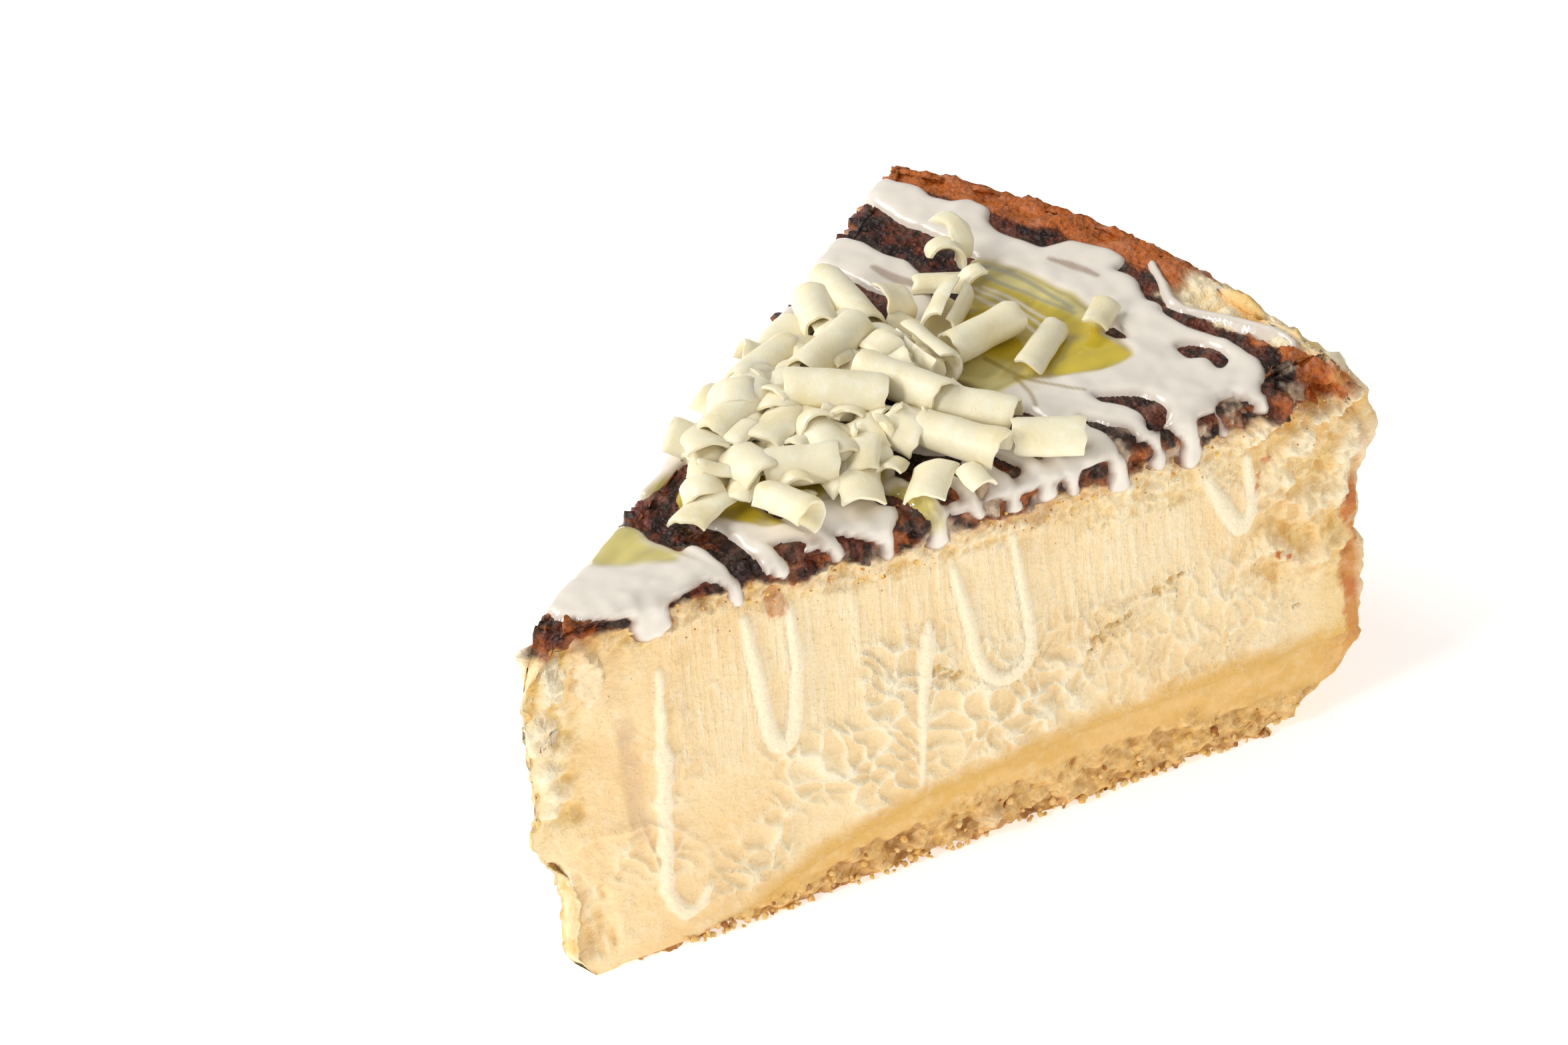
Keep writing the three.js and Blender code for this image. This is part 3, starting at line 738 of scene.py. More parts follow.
# Drips on the near face, as (distance from the centre, height, half the width)
DRIPS = [
    [(32, 49.5, 0.7), (32.6, 45, 0.95), (33.2, 40, 1.1), (34, 34, 1.15), (34.8, 29.6, 1.3),
     (36.4, 27.4, 1.5), (38, 29.2, 1.3), (38.8, 35, 1.15), (39, 41, 1.05), (38.4, 49, 0.7)],
    [(62.6, 46, 0.6), (63.6, 41, 0.95), (64.6, 36.5, 1.1), (65.4, 31, 1.05), (67, 27.2, 1.2),
     (69.6, 25.6, 1.2), (72.2, 26.6, 1.2), (73.4, 29.4, 1.15), (73.2, 35, 0.95), (72.4, 41, 0.85),
     (71.6, 48, 0.6)],
    [(101, 46.5, 0.7), (102.4, 43.4, 1.1), (104, 40, 1.3), (106, 36.8, 1.4), (107.6, 38.4, 1.15),
     (107.8, 42, 1), (107.4, 47.5, 0.7)],
    [(58.6, 38.8, 0.5), (58.2, 34.6, 1.3), (57.4, 29, 1.0), (56.9, 23, 0.75), (56.6, 17, 0.6),
     (56.3, 12, 0.5), (56, 8.4, 0.4)],
    [(19.4, 46, 0.5), (19.2, 36, 1.0), (18.6, 26, 1.3), (18.2, 17, 1.2), (18.2, 10.6, 1.1),
     (19.4, 6.6, 1.1), (22, 6, 1.0), (24, 8.6, 0.7)],
]
DRIP_HEIGHT = 0.8  # how far a drip stands out in its middle


def slow_waves(p):
    """Slow unevenness that every side of the slice shares, in millimetres."""
    return 0.3 * noise(p, 14, 1) + 0.12 * noise(p, 5, 2)


def spot(s, z, at, wide, high):
    """1 in the middle of an ellipse on a face, falling as exp(-d^2)."""
    return np.exp(-(((s - at[0]) / wide) ** 2) - ((z - at[1]) / high) ** 2)


def ridges(first, second, width):
    """1 on the border between two cells, falling as exp(-d^2)."""
    return np.exp(-(((second - first) / width) ** 2))


def cut_face(s, z, near):
    """Relief of a cut face in millimetres, then as rows for each of its points: how golden it is, partly its
    own golden tone and partly painted shade in hollows; how much painted highlight (above 0) or painted shade
    (below 0) its relief gets; how brown it is; how deep its shallow groove is, which is painted tan with
    painted shade; and how much it is dripped on, speckled and dragged. It adds upright streaks of the knife,
    a net of ridges round hollow cells, upright leaves towards the rind, torn crags by the rind, crumbs under
    the skin and a broken foot at the point."""
    side = 0 if near else 500
    flat = np.stack((s, z, 0 * s + side), -1)
    face = flat[:, :2] + side
    drift = np.stack((0.8 * noise(flat, 13, 5) + 0.05 * z, 0 * s, 0 * s), -1)
    knife = 0.17 * noise((flat + drift) * (1 / 2.6, 1 / 30, 1), 1, 6)
    knife = knife + 0.12 * noise((flat + drift) * (1 / 0.95, 1 / 17, 1), 1, 10)
    dragged = between(z + 3 * noise(flat, 9, 21), 29, 51, 6) * between(s, 22, 104, 6)
    knife = knife * dragged
    warp = np.stack((2.2 * noise(flat, 6, 7) + 0.8 * noise(flat, 2.2, 19), 2.2 * noise(flat, 6, 8)), -1)
    patch = smooth(noise(flat, 15, 4), -0.3, 0.2)
    lean = face + warp + np.stack((0.5 * z, 0 * s), -1)
    first, second, _ = cells(lean, (3.0, 4.2), 9)
    net = ridges(first, second, 0.17) + 0.9 * smooth(first, 0.15, 0.75) - 0.55
    net_zone = between(z, 7, 25, 6) * between(s, 13, 78, 8) * patch
    net_zone = np.maximum(net_zone, between(z, 26, 37, 3) * between(s, 50, 60, 3))
    first, second, owner = cells(face + 0.8 * warp, (1.9, 5.4), 11)
    leaf = 0.8 * (owner - 0.5) + 0.8 * ridges(first, second, 0.22) - 0.3 * smooth(first, 0, 0.4)
    leaf_zone = between(s, 68, 110, 7) * between(z, 13, 32, 4)
    lump, _, _ = cells(face + 0.5 * warp, 2.5, 14)
    small, _, _ = cells(face, 1.05, 17)
    rough_part = rough(flat, 5, 4, 15)
    hollow = smooth(noise(flat * (1, 0.8, 1), 3.8, 25), 0.12, 0.5)
    crumb = 0.5 * (0.45 - small) + 0.6 * (0.45 - lump) + 0.3 * rough_part
    torn = smooth(s + 1.5 * noise(flat, 6, 26), 104, 112) * smooth(z, 19, 31)
    torn = np.maximum(torn, 0.4 * between(s, 86, 104, 6) * between(z, 26, 34, 3) * patch)
    low = skin_low(s)
    under = smooth(z + 1.6 * noise(flat, 5, 13), low - 5.5, low - 2)
    under = np.maximum(under, 0.8 * between(s, 84, 106, 4) * between(z, 44.5, 50, 1.5))
    crag = torn * (1.7 * rough_part + 1.5 * crumb - 0.8 * hollow + 0.4)
    crag = crag + under * (1.5 * crumb + 0.4 * rough_part - 0.7 * hollow)
    edge = np.interp(z, *np.array(BROKEN_EDGE).T)
    broken = 1 - smooth(s + 0.8 * rough_part, edge - 1.5, edge + 0.2)
    broken = broken * (1 - smooth(z + rough_part, 18.5, 24.5))
    facet = 1.8 * np.clip(1 - s / np.maximum(edge, 1), 0, 1)
    fibres = noise(np.stack((s / 1.3 + z / 9, z / 4.5, 0 * s + side), -1), 1, 16)
    crag = crag + broken * (1.0 * fibres + 0.8 * crumb - 0.4 - facet)
    point = (1 - smooth(s + 2 * rough_part, 4, 8)) * smooth(z, 24, 30)
    crag = crag + point * (1.1 * rough_part + 1.3 * crumb - 0.2)
    relief = 1.2 * knife + 0.5 * net * net_zone + 0.55 * leaf * leaf_zone + crag + 0.08 * noise(flat, 1.2, 18)
    relief = relief + 0.3 * rough_part * (1 - smooth(s, 20, 36))
    # Golden paint: partly the cheese's own tone under the skin, at the broken foot and in the pits, partly
    # painted shade in the hollows of crumbs, crags and fibres
    gold_and_shade = under * smooth(-crumb, -0.15, 0.3) * 0.8 + torn * smooth(0.1 - rough_part + hollow, 0, 1) * 0.75
    gold_and_shade = gold_and_shade + broken * (0.1 + 0.4 * smooth(-fibres, 0, 0.5))
    gold_and_shade = gold_and_shade + point * smooth(-crumb - rough_part, -0.2, 0.4)
    # Painted highlight on raised relief (above 0) and painted shade in its hollows (below 0)
    highlight_and_shade = net * net_zone + 0.9 * leaf * leaf_zone + torn * (1.2 * crumb + rough_part) + 3 * knife
    highlight_and_shade = highlight_and_shade + broken * fibres + point * (crumb + rough_part) + under * crumb
    brown, shaded_groove, dripped = 0 * s, 0 * s, 0 * s
    if near:
        jagged = 0.45 * noise(flat, 1.1, 27)
        for *at, radius in PITS:
            pit = spot(s + 2.4 * jagged, z + 1.6 * small - 0.6, at, radius * 1.5, radius * 0.8)
            pit = smooth(pit, 0.35, 0.9)
            relief = relief - 0.8 * pit + 0.3 * spot(s, z, at, radius * 2.2, radius * 1.6) * crumb
            gold_and_shade = np.maximum(gold_and_shade, 1.1 * pit)
        for *at, radius in BROWN_SPOTS:
            blot = smooth(spot(s + 2 * jagged, z + jagged, at, radius, radius * 1.3), 0.35, 0.6)
            brown = np.maximum(brown, blot * (0.75 + 0.5 * rough_part))
        for *at, wide, high in PALE_FLAKES:
            flake = smooth(spot(s + 2 * jagged, z + 2 * jagged, at, wide, high), 0.28, 0.4)
            relief = relief + flake * (0.9 + 0.5 * rough_part)
            gold_and_shade = gold_and_shade * (1 - flake)
            highlight_and_shade = np.maximum(highlight_and_shade, 0.8 * flake)
        # A shallow groove by the point, carved in and painted tan with painted shade
        groove = s - 0.05 * (30 - z) + 0.6 * rough_part
        shaded_groove = between(groove, 14.2, 15.4, 1.6) * between(z, 22, 38, 5) * (0.75 + 0.5 * noise(flat, 3, 28))
        second_ridge = spot(s, 0 * z, (21.4, 0), 0.9, 1) * between(z, 27, 45, 3) * (0.6 + noise(flat, 3, 20))
        lip = spot(s, z + 0.12 * (s - 14), (13.6, 22.6), 4.2, 0.8)
        relief = relief - 0.5 * shaded_groove + 0.5 * second_ridge + 0.9 * lip
        hang = np.full(len(s), -99.0)
        for stations in DRIPS:
            hang = np.maximum(hang, inside_strand(flat[:, :2], stations))
        hang = hang + (0.12 + 0.5 * (s < 27)) * noise(flat, 2.4, 29)
        t = np.clip(hang / 1.1, 0, 1)
        dome = DRIP_HEIGHT * np.sqrt(t * (2 - t)) + np.minimum(hang, 0) * 1.2
        relief = merged(relief, dome - 0.1, 0.5)
        dripped = smooth(hang, -0.25, 0.3)
        gold_and_shade, highlight_and_shade = gold_and_shade * (1 - dripped), highlight_and_shade * (1 - dripped)
    specks = smooth(z, 36, 51) * (1 - dripped)
    return np.stack((relief, gold_and_shade, highlight_and_shade, brown, shaded_groove, dripped, specks, dragged * (1 - dripped)))


def filling_mesh():
    """Points and quads of the filling's base shape, the ring of its bottom, and the grid of the points of
    its near face: a wall with a rounded top edge, covered by a surface through its last row."""
    levels = np.linspace(0, 1, WALL_ROWS)

    def wall_top(r, angle):
        flat = np.stack(((r * np.cos(angle)).ravel(), (r * np.sin(angle)).ravel(), 0 * r.ravel()), -1)
        return top_height(flat).reshape(r.shape) - edge_rounding(r)

    wall = slice_wall(levels, filling_bottom, wall_top)
    last = wall[-1]
    ahead = np.roll(last, -2, 0) - np.roll(last, 2, 0)
    out = np.stack((ahead[:, 1], -ahead[:, 0], 0 * ahead[:, 0]), -1)
    out /= np.linalg.norm(out, axis=1)[:, None]
    radius = edge_rounding(np.hypot(last[:, 0], last[:, 1]))
    bends = np.linspace(0, math.pi / 2, ARC_ROWS + 1)[1:, None, None]
    up = np.array([0, 0, 1.0])
    arc = last + up * (radius[:, None] * np.sin(bends)) - out * (radius[:, None] * (1 - np.cos(bends)))
    loop = arc[-1]
    loop[:, 2] = top_height(loop)
    rows = np.concatenate((wall, arc))
    columns = rows.shape[1]
    first = (len(rows) - 1) * columns
    inner, number = covered(loop, first)
    inner[:, 2] = top_height(inner)
    points = np.concatenate((rows.reshape(-1, 3), inner))
    quads = np.concatenate((wall_quads(len(rows), columns), grid_quads(number)))
    face = np.arange(len(rows))[:, None] * columns + np.arange(SIDE_STEPS + 1)
    face = np.concatenate((face, number[:, 1:FACE_TOP_ROWS + 1].T))
    return points, quads, np.arange(columns)[::-1], face


def finer(grid):
    """Grid with twice the steps each way, on Catmull-Rom curves through its points."""
    for _ in range(2):
        flat = grid.reshape(len(grid), -1)
        grid = flowing(flat, False, 2).reshape(-1, *grid.shape[1:]).swapaxes(0, 1)
    return grid


def inside_border(grid):
    """Distance of each point of a grid from its first and last column and its last row, along the grid."""
    across = np.linalg.norm(np.diff(grid, axis=1), axis=2)
    along = np.concatenate((np.zeros((len(grid), 1)), np.cumsum(across, 1)), 1)
    upward = np.linalg.norm(np.diff(grid[:, ::8], axis=0), axis=2).mean(1)
    height = np.concatenate(([0], np.cumsum(upward)))
    return np.minimum(np.minimum(along, along[:, -1:] - along), (height[-1] - height)[:, None])


def cheese_surface(points, normals, colours):
    """Relief, and the fields of the finish, of the filling at points of its base shape."""
    cream, crust_dark, crust_red, rim, soaked = (np.array(c) for c in (
        colours.cream, colours.crust_dark, colours.crust_red, colours.rim, colours.soaked))
    count = len(points)
    r = np.hypot(points[:, 0], points[:, 1])
    turn = np.arctan2(points[:, 1], points[:, 0]) / HALF_ANGLE
    z = points[:, 2]
    depth = np.full(count, -99.0)
    high = z > 44
    depth[high] = icing_depth(unrolled(points[high]))
    top = smooth(normals[:, 2], 0.25, 0.7) * smooth(z, 52.4, 53.8)
    near_side = smooth(normals @ NEAR_OUT, 0.35, 0.8)
    far_side = smooth(normals @ FAR_OUT, 0.35, 0.8)
    outer = smooth(normals[:, 0], 0.45, 0.8) * smooth(r, 100, 108) * (1 - top)
    point_side = np.clip(1 - top - near_side - far_side - outer, 0, 1)

    fields = np.zeros((FACE_FIELDS, count))
    for share, run, near in ((near_side, NEAR_RUN, True), (far_side, FAR_RUN, False)):
        on = share > 0
        fields[:, on] += share[on] * cut_face((points @ run)[on], z[on], near)
    relief, gold_and_shade, highlight_and_shade, brown, shaded_groove, dripped, specks, dragged = fields
    lump, _, _ = cells(points, 2.3, 24)
    small, _, _ = cells(points, 1.0, 30)
    crumb = 0.7 * (0.6 - lump) + 0.5 * (0.5 - small)
    ragged = rough(points, 4.5, 4, 22)
    relief = relief + point_side * np.where(z > 24, 1.1, 0.5) * (ragged + 0.7 * crumb)
    relief = relief + point_side * (1 - smooth(z, 18, 24)) * 0.8 * noise(points * (0.25, 0.25, 0.8), 1, 23)
    # The point's side: golden, with more painted shade in its hollows, and painted highlight and shade by its
    # relief
    gold_and_shade = gold_and_shade + point_side * (0.25 + 0.4 * smooth(-ragged - crumb, -0.1, 0.6))
    highlight_and_shade = highlight_and_shade + point_side * (ragged + crumb)
    torn_rind = noise(points * (1, 1, 0.6), 13, 25) - 0.7 * turn - 0.3 + 0.4 * smooth(z, 40, 50)
    torn_rind = smooth(torn_rind, -0.1, 0.25)
    bulge = np.interp(z, *np.array(RIND_BULGE).T) * smooth(-turn, -0.4, 0.7)
    bulge = bulge + 0.7 * rough(points, 7, 4, 26)
    relief = relief + outer * (bulge + torn_rind * (0.9 * ragged + 0.7 * crumb))
    # Torn rind: golden painted shade in its hollows, and painted highlight and shade by its relief
    gold_and_shade = gold_and_shade + outer * torn_rind * 0.5 * smooth(-ragged - crumb, -0.2, 0.5)
    highlight_and_shade = highlight_and_shade + outer * torn_rind * (ragged + crumb)
    above = z - filling_bottom(r)
    relief = relief * smooth(above, 1.5, 5) + (1 - top) * slow_waves(points)
    relief = relief - 0.22 * (1 - smooth(above, 0, 1.6))

    skin_line = np.where(near_side > 0.3, skin_low(points @ NEAR_RUN), skin_low(points @ FAR_RUN))
    skin_line = np.where(point_side > 0.5, 53.4, skin_line)
    waver = 0.9 * noise(points, 3.4, 28) + 0.5 * noise(points, 1.4, 29) + 0.5 * crumb
    skin = np.maximum(top, smooth(z + waver, skin_line - 0.35, skin_line + 0.35))
    torn_top = smooth(points[:, 0] + 1.8 * ragged - 0.06 * (-14 - points[:, 1]), 111.6, 112.6)
    torn_top = torn_top * smooth(-points[:, 1] + 2 * ragged, 11, 13) * smooth(z, 44, 48)
    skin = skin * (1 - torn_top)
    blisters, _, _ = cells(points, (2.1, 2.1, 3), 31)
    bare = 1 - smooth(depth, -0.9, 0.3)
    grit = 0.5 * rough(points, 2.8, 3, 33) + 0.55 * (0.5 - blisters) + 0.35 * (0.5 - small)
    rim_zone = smooth(r + 0.8 * noise(points, 5, 34), 112, 117) * top
    inward = np.minimum(-points @ NEAR_OUT, -points @ FAR_OUT)
    lip = 1 - smooth(inward, 1.5, 4.5)
    crust = crust_waves(points) + bare * grit * (1 + 1.1 * lip) + rim_zone * bare * (0.3 + 0.7 * ragged)
    relief = relief * (1 - skin * np.maximum(top, smooth(depth, -1.5, 0))) + crust * skin
    relief = relief + torn_top * top * (1.2 * ragged + 1.1 * crumb - 0.9)

    paint = np.tile(cream, (count, 1))
    # Torn top: painted highlight on its lumps and painted shade between them
    highlight_and_shade = highlight_and_shade + torn_top * top * (ragged + crumb)
    # Painted highlight on raised relief and painted shade in its hollows
    paint = blend(paint, PALE_CREAM_AND_HIGHLIGHT, np.clip(highlight_and_shade, 0, 1) * 0.8)
    paint = blend(paint, WARM_CREAM_AND_SHADE, np.clip(-1.5 * highlight_and_shade, 0, 1) * 0.75)
    paint = blend(paint, WARM_CREAM_AND_SHADE, 0.22 * smooth(noise(points, 16, 35), 0, 0.6))
    along = points @ NEAR_RUN
    towards_point = near_side * (1 - smooth(along, 12, 42)) * smooth(along, 3, 8)
    paint = blend(paint, WARM_CREAM_AND_SHADE, 0.28 * towards_point * (0.8 + noise(points, 7, 59)))
    # Golden paint: the cheese's own golden tone, with painted shade in the hollows of torn and crumbly parts
    gold_and_shade = gold_and_shade + torn_top * top * smooth(-crumb - ragged, -0.2, 0.4) * 0.6
    paint = blend(paint, GOLD, gold_and_shade * 0.7)
    # Tan with painted shade in the shallow groove
    paint = blend(paint, GROOVE_SHADE_TAN, shaded_groove * 0.7)
    baked = smooth(z + 2.2 * waver, skin_line - 2.6, skin_line + 0.4) * np.maximum(near_side, far_side)
    paint = blend(paint, RIND_GOLD, baked * (0.35 + 0.5 * noise(points, 4, 60)))
    paint = blend(paint, PALE_CREAM_AND_HIGHLIGHT, dripped * 0.75)
    band = 1 - smooth(z + 1.1 * noise(points, 6, 36) + 0.5 * noise(points, 1.6, 57) - base_top(r), -0.2, 3.8)
    paint = blend(paint, soaked, band * (1 - 0.6 * point_side) * smooth(r, 20, 36))
    rind_tone = smooth(noise(points * (1, 1, 0.7), 8, 37) + 0.8 * rough(points, 3, 3, 38), -0.35, 0.8)
    rind = RIND_GOLD + (rim - RIND_GOLD) * rind_tone[:, None]
    browned = r - rind_distance(z) + 2.6 + 1.6 * ragged + 0.7 * noise(points * (1, 1, 0.5), 2, 39)
    cut_side = np.maximum(near_side, far_side)
    edge = smooth(browned, -0.3, 0.7) * cut_side * (1 - 0.8 * between(z, 40, 52, 3))
    paint = blend(paint, GOLD, 0.4 * smooth(browned, -7, 0) * cut_side * (1 - smooth(z, 30, 38)))
    paint = blend(paint, rind, np.maximum(outer * (1 - 0.85 * torn_rind), edge * 0.9))
    paint = blend(paint, rim, brown)
    mottle = smooth(rough(points, 3.4, 3, 40) + 0.3 * crumb, -0.15, 0.45)
    crust_paint = crust_dark + (crust_red - crust_dark) * mottle[:, None]
    amber = noise(points, 3, 44) + 1.5 * smooth(r, 114, 118.5) + 0.8 * (1 - smooth(r, 8, 15))
    amber = smooth(amber - 0.5 + 0.5 * crumb, 0, 0.6)
    amber_side = (1 - top) * smooth(noise(points, 2.6, 48) + crumb, -0.3, 0.3) * 0.7
    amber = np.maximum(amber, amber_side)
    crust_paint = blend(crust_paint, rim, amber * 0.9)
    milky = between(depth, -1.2, 0, 0.8) * smooth(noise(points, 3, 49), -0.4, 0.3)
    crust_paint = blend(crust_paint, THIN_ICING, milky * 0.1)
    film = smooth(noise(points, 3.6, 58) + 0.7 * crumb, 0, 0.45) * smooth(along, 44, 62)
    film = film * (1 - smooth(-points @ NEAR_OUT, 1.5, 4)) * smooth(depth, -6, -3)
    crust_paint = blend(crust_paint, ICING_FILM, film * 0.9)
    paint = paint + (crust_paint - paint) * skin[:, None]

    wet = skin * (1 - 0.4 * milky) * (1 - 0.45 * amber) * (1 - 0.9 * film)
    gloss = 0.5 - 0.16 * skin + 0.1 * outer - 0.16 * dripped
    specks = specks * (1 - skin)
    return relief, {"paint": paint, "wet": wet, "gloss": gloss, "specks": specks, "dragged": dragged}


def build_filling(sizes, colours):
    """The filling and its browned skin, and its near face again with four times as many points: that one
    stands proud of the first but near its border, where it dives under it."""
    points, quads, cap, face = filling_mesh()
    finish = cheese_finish()
    normals = face_normals(points, quads)
    relief, fields = cheese_surface(points, normals, colours)
    coarse = points[face]
    under = np.zeros(len(points))
    under[face] = HIDDEN * smooth(inside_border(coarse) - SEAM, 0, 4)
    moved = points + normals * (relief * sizes.relief - under)[:, None]
    make_piece("cheese_and_crust", moved, quads.tolist() + [cap.tolist()], finish, fields,
               ["cheese_filling"])

    fine = finer(coarse)
    rows, columns = fine.shape[:2]
    number = np.arange(rows * columns).reshape(rows, columns)
    quads = grid_quads(number.T)
    points = fine.reshape(-1, 3)
    normals = face_normals(points, quads)
    relief, fields = cheese_surface(points, normals, colours)
    dive = HIDDEN * smooth(SEAM - inside_border(fine), 0, SEAM)
    # Its border reaches inwards round the wall, and down where it lies on the top.
    wall_end = 2 * (WALL_ROWS + ARC_ROWS - 2)
    dive[0] += SKIRT
    dive[1:wall_end, -1] += SKIRT
    dive[1:wall_end, 0] += 2 * SKIRT
    across = smooth(fine @ NEAR_RUN, 0, 14)[..., None]
    inward = (1 - across) * (1.0, 0, 0) - across * NEAR_OUT
    inward *= (dive / np.linalg.norm(inward, axis=2))[..., None]
    moved = points + normals * (relief * sizes.relief)[:, None] + inward.reshape(-1, 3)
    moved[np.concatenate((number[-1], number[wall_end:-1, 0], number[wall_end:-1, -1])), 2] -= SKIRT
    ring = np.concatenate((number[0], number[1:, -1], number[-1, -2::-1], number[-2:0:-1, 0]))
    make_piece("near_cut_face", moved, quads.tolist() + [ring[::-1].tolist()], finish, fields,
               ["cheese_filling"])


# The base
BASE_ROWS = 44
# Height below which the base is crumbly, as (distance from the centre, height)
CRUMB_LINE = [(0, 2), (20, 1.8), (30, 2.6), (45, 4.8), (60, 7.4), (80, 8.4), (100, 7.6), (112, 6.4),
              (126, 6)]
# Hollows in its near face, as (distance from the centre, height, half the width, half the height)
CAVITIES = [(53.5, 1.6, 1.8, 1.6), (59.5, 0, 2.6, 1.2), (63, 3, 1.2, 1), (73, 1, 1.6, 1)]
LEDGE = (66.3, 3.8)  # distance from the centre and height of a pale ledge of crumbs


def build_base(sizes, colours):
    """The shortcrust: a low wall, smooth where it soaked and crumbly below, with a ragged foot."""
    soaked, sand, brown = (np.array(c) for c in (colours.soaked, colours.sand, colours.baked_bits))
    levels = np.linspace(0, 1, BASE_ROWS)
    wall = slice_wall(levels, lambda r: 0 * r, lambda r, angle: base_top(r) + 0 * angle, BASE_START)
    columns = wall.shape[1]
    points = wall.reshape(-1, 3)
    quads = wall_quads(BASE_ROWS, columns)
    normals = face_normals(points, quads)
    normals[:, 2] *= 0.3
    normals /= np.linalg.norm(normals, axis=1)[:, None]
    r = np.hypot(points[:, 0], points[:, 1])
    s = points @ NEAR_RUN
    z = points[:, 2]
    line = np.interp(r, *np.array(CRUMB_LINE).T)
    waver = 1.6 * noise(points, 5, 41) + 0.8 * noise(points, 1.8, 55)
    crumbly = 1 - smooth(z + waver, line - 0.9, line + 0.9)
    crumbly = np.maximum(crumbly, 0.6 * smooth(points[:, 0], 112, 118))
    big, _, tone = cells(points, 2.7, 42)
    small, _, small_tone = cells(points, 1.2, 43)
    lumpy = 0.9 * (0.55 - big) + 0.55 * (0.5 - small) + 0.7 * rough(points, 3.6, 3, 44)
    hollow = smooth(noise(points, 3, 52), 0.25, 0.55)
    gentle = 0.16 * noise(points, 2.4, 45) + 0.2 * (0.5 - small)
    relief = crumbly * (1.25 * lumpy - 0.9 * hollow) + (1 - crumbly) * gentle
    below_top = 1 - smooth(z - base_top(r) + 1.2, 0, 1.2)
    relief = relief * below_top + slow_waves(points) - 0.22 * (1 - below_top)
    foot = 1 - smooth(z, 0, 1.7)
    relief -= foot * (0.7 + 0.8 * noise(points, 4, 47))
    near = smooth(normals @ NEAR_OUT, 0.3, 0.7)
    # Painted shade in the hollows between the crumbs
    dark = crumbly * 0.35 * smooth(-lumpy, 0.1, 0.6)
    # Cavities, carved in and filled with painted shade
    for *at, wide, high in CAVITIES:
        hole = spot(s + 0.5 * lumpy, z, at, wide, high) * near
        relief -= 1.7 * hole
        dark = np.maximum(dark, 0.8 * hole)
    ledge = smooth(spot(s + 0.8 * lumpy, z, LEDGE, 2.2, 1.5), 0.3, 0.7) * near
    relief += ledge * (1.0 + 0.8 * lumpy)
    moved = points + normals * relief[:, None]
    level = points * (1, 1, 0)
    gap = np.clip(1.3 * noise(level, 6, 48) + 0.9 * noise(level, 2.2, 49), 0, 1.6)
    moved[:, 2] = np.maximum(moved[:, 2] + gap * (1 - smooth(z, 0, 2.4)), 0)

    paint = np.tile(soaked, (len(points), 1))
    paint = blend(paint, sand, 0.6 * smooth(noise(points * (1, 1, 1.6), 5, 50), -0.2, 0.4))
    paint = blend(paint, PALE_CREAM_AND_HIGHLIGHT, 0.14 * smooth(noise(points, 1.1, 56), 0.2, 0.6))
    crumb = soaked + (sand - soaked) * (0.2 + 0.8 * smooth(tone, 0.3, 0.9))[:, None]
    crumb = blend(crumb, brown, 0.65 * (small_tone > 0.84) + 0.4 * smooth(rough(points, 6, 2, 51), 0.15, 0.6))
    # Painted highlight: raised lumps of crumbs lighter
    crumb = blend(crumb, sand, 0.5 * smooth(lumpy, 0.1, 0.5))
    crumb = blend(crumb, brown, foot * (0.45 + 0.4 * (r < 62)) * smooth(noise(points, 7, 53), -0.5, 0.2))
    paint = paint + (crumb - paint) * crumbly[:, None]
    # Painted shade in the hollows and cavities
    paint = blend(paint, HOLLOW_SHADE, dark)
    baked = smooth(points[:, 0] + noise(points, 4, 54), 110, 118)
    paint = blend(paint, (np.array(colours.rim) + RIND_GOLD) / 2, 0.55 * baked)
    paint = blend(paint, PALE_CREAM_AND_HIGHLIGHT, 0.4 * ledge)
    caps = [np.arange(columns)[::-1].tolist(), (np.arange(columns) + (BASE_ROWS - 1) * columns).tolist()]
    make_piece("shortcrust", moved, quads.tolist() + caps, shortcrust_finish(),
               {"paint": paint, "crumbly": crumbly}, ["shortcrust_base"])


# The poured icing and syrup
SHEET_ROWS = 300
TOP_STEPS = 150
DROP_STEPS = 20
BEND_STEPS = 8
SHEET_START = 7.8  # distances from the centre between which the sheet lies
SHEET_END = 120.0
NEAR_DROP = 9.0  # how far down the near face the sheet reaches
FAR_DROP = 5.0
SHEET_WALL = 1.9  # how deep its underside lies
SUNKEN = 1.3  # how deep its upper side dives outside the icing's outline
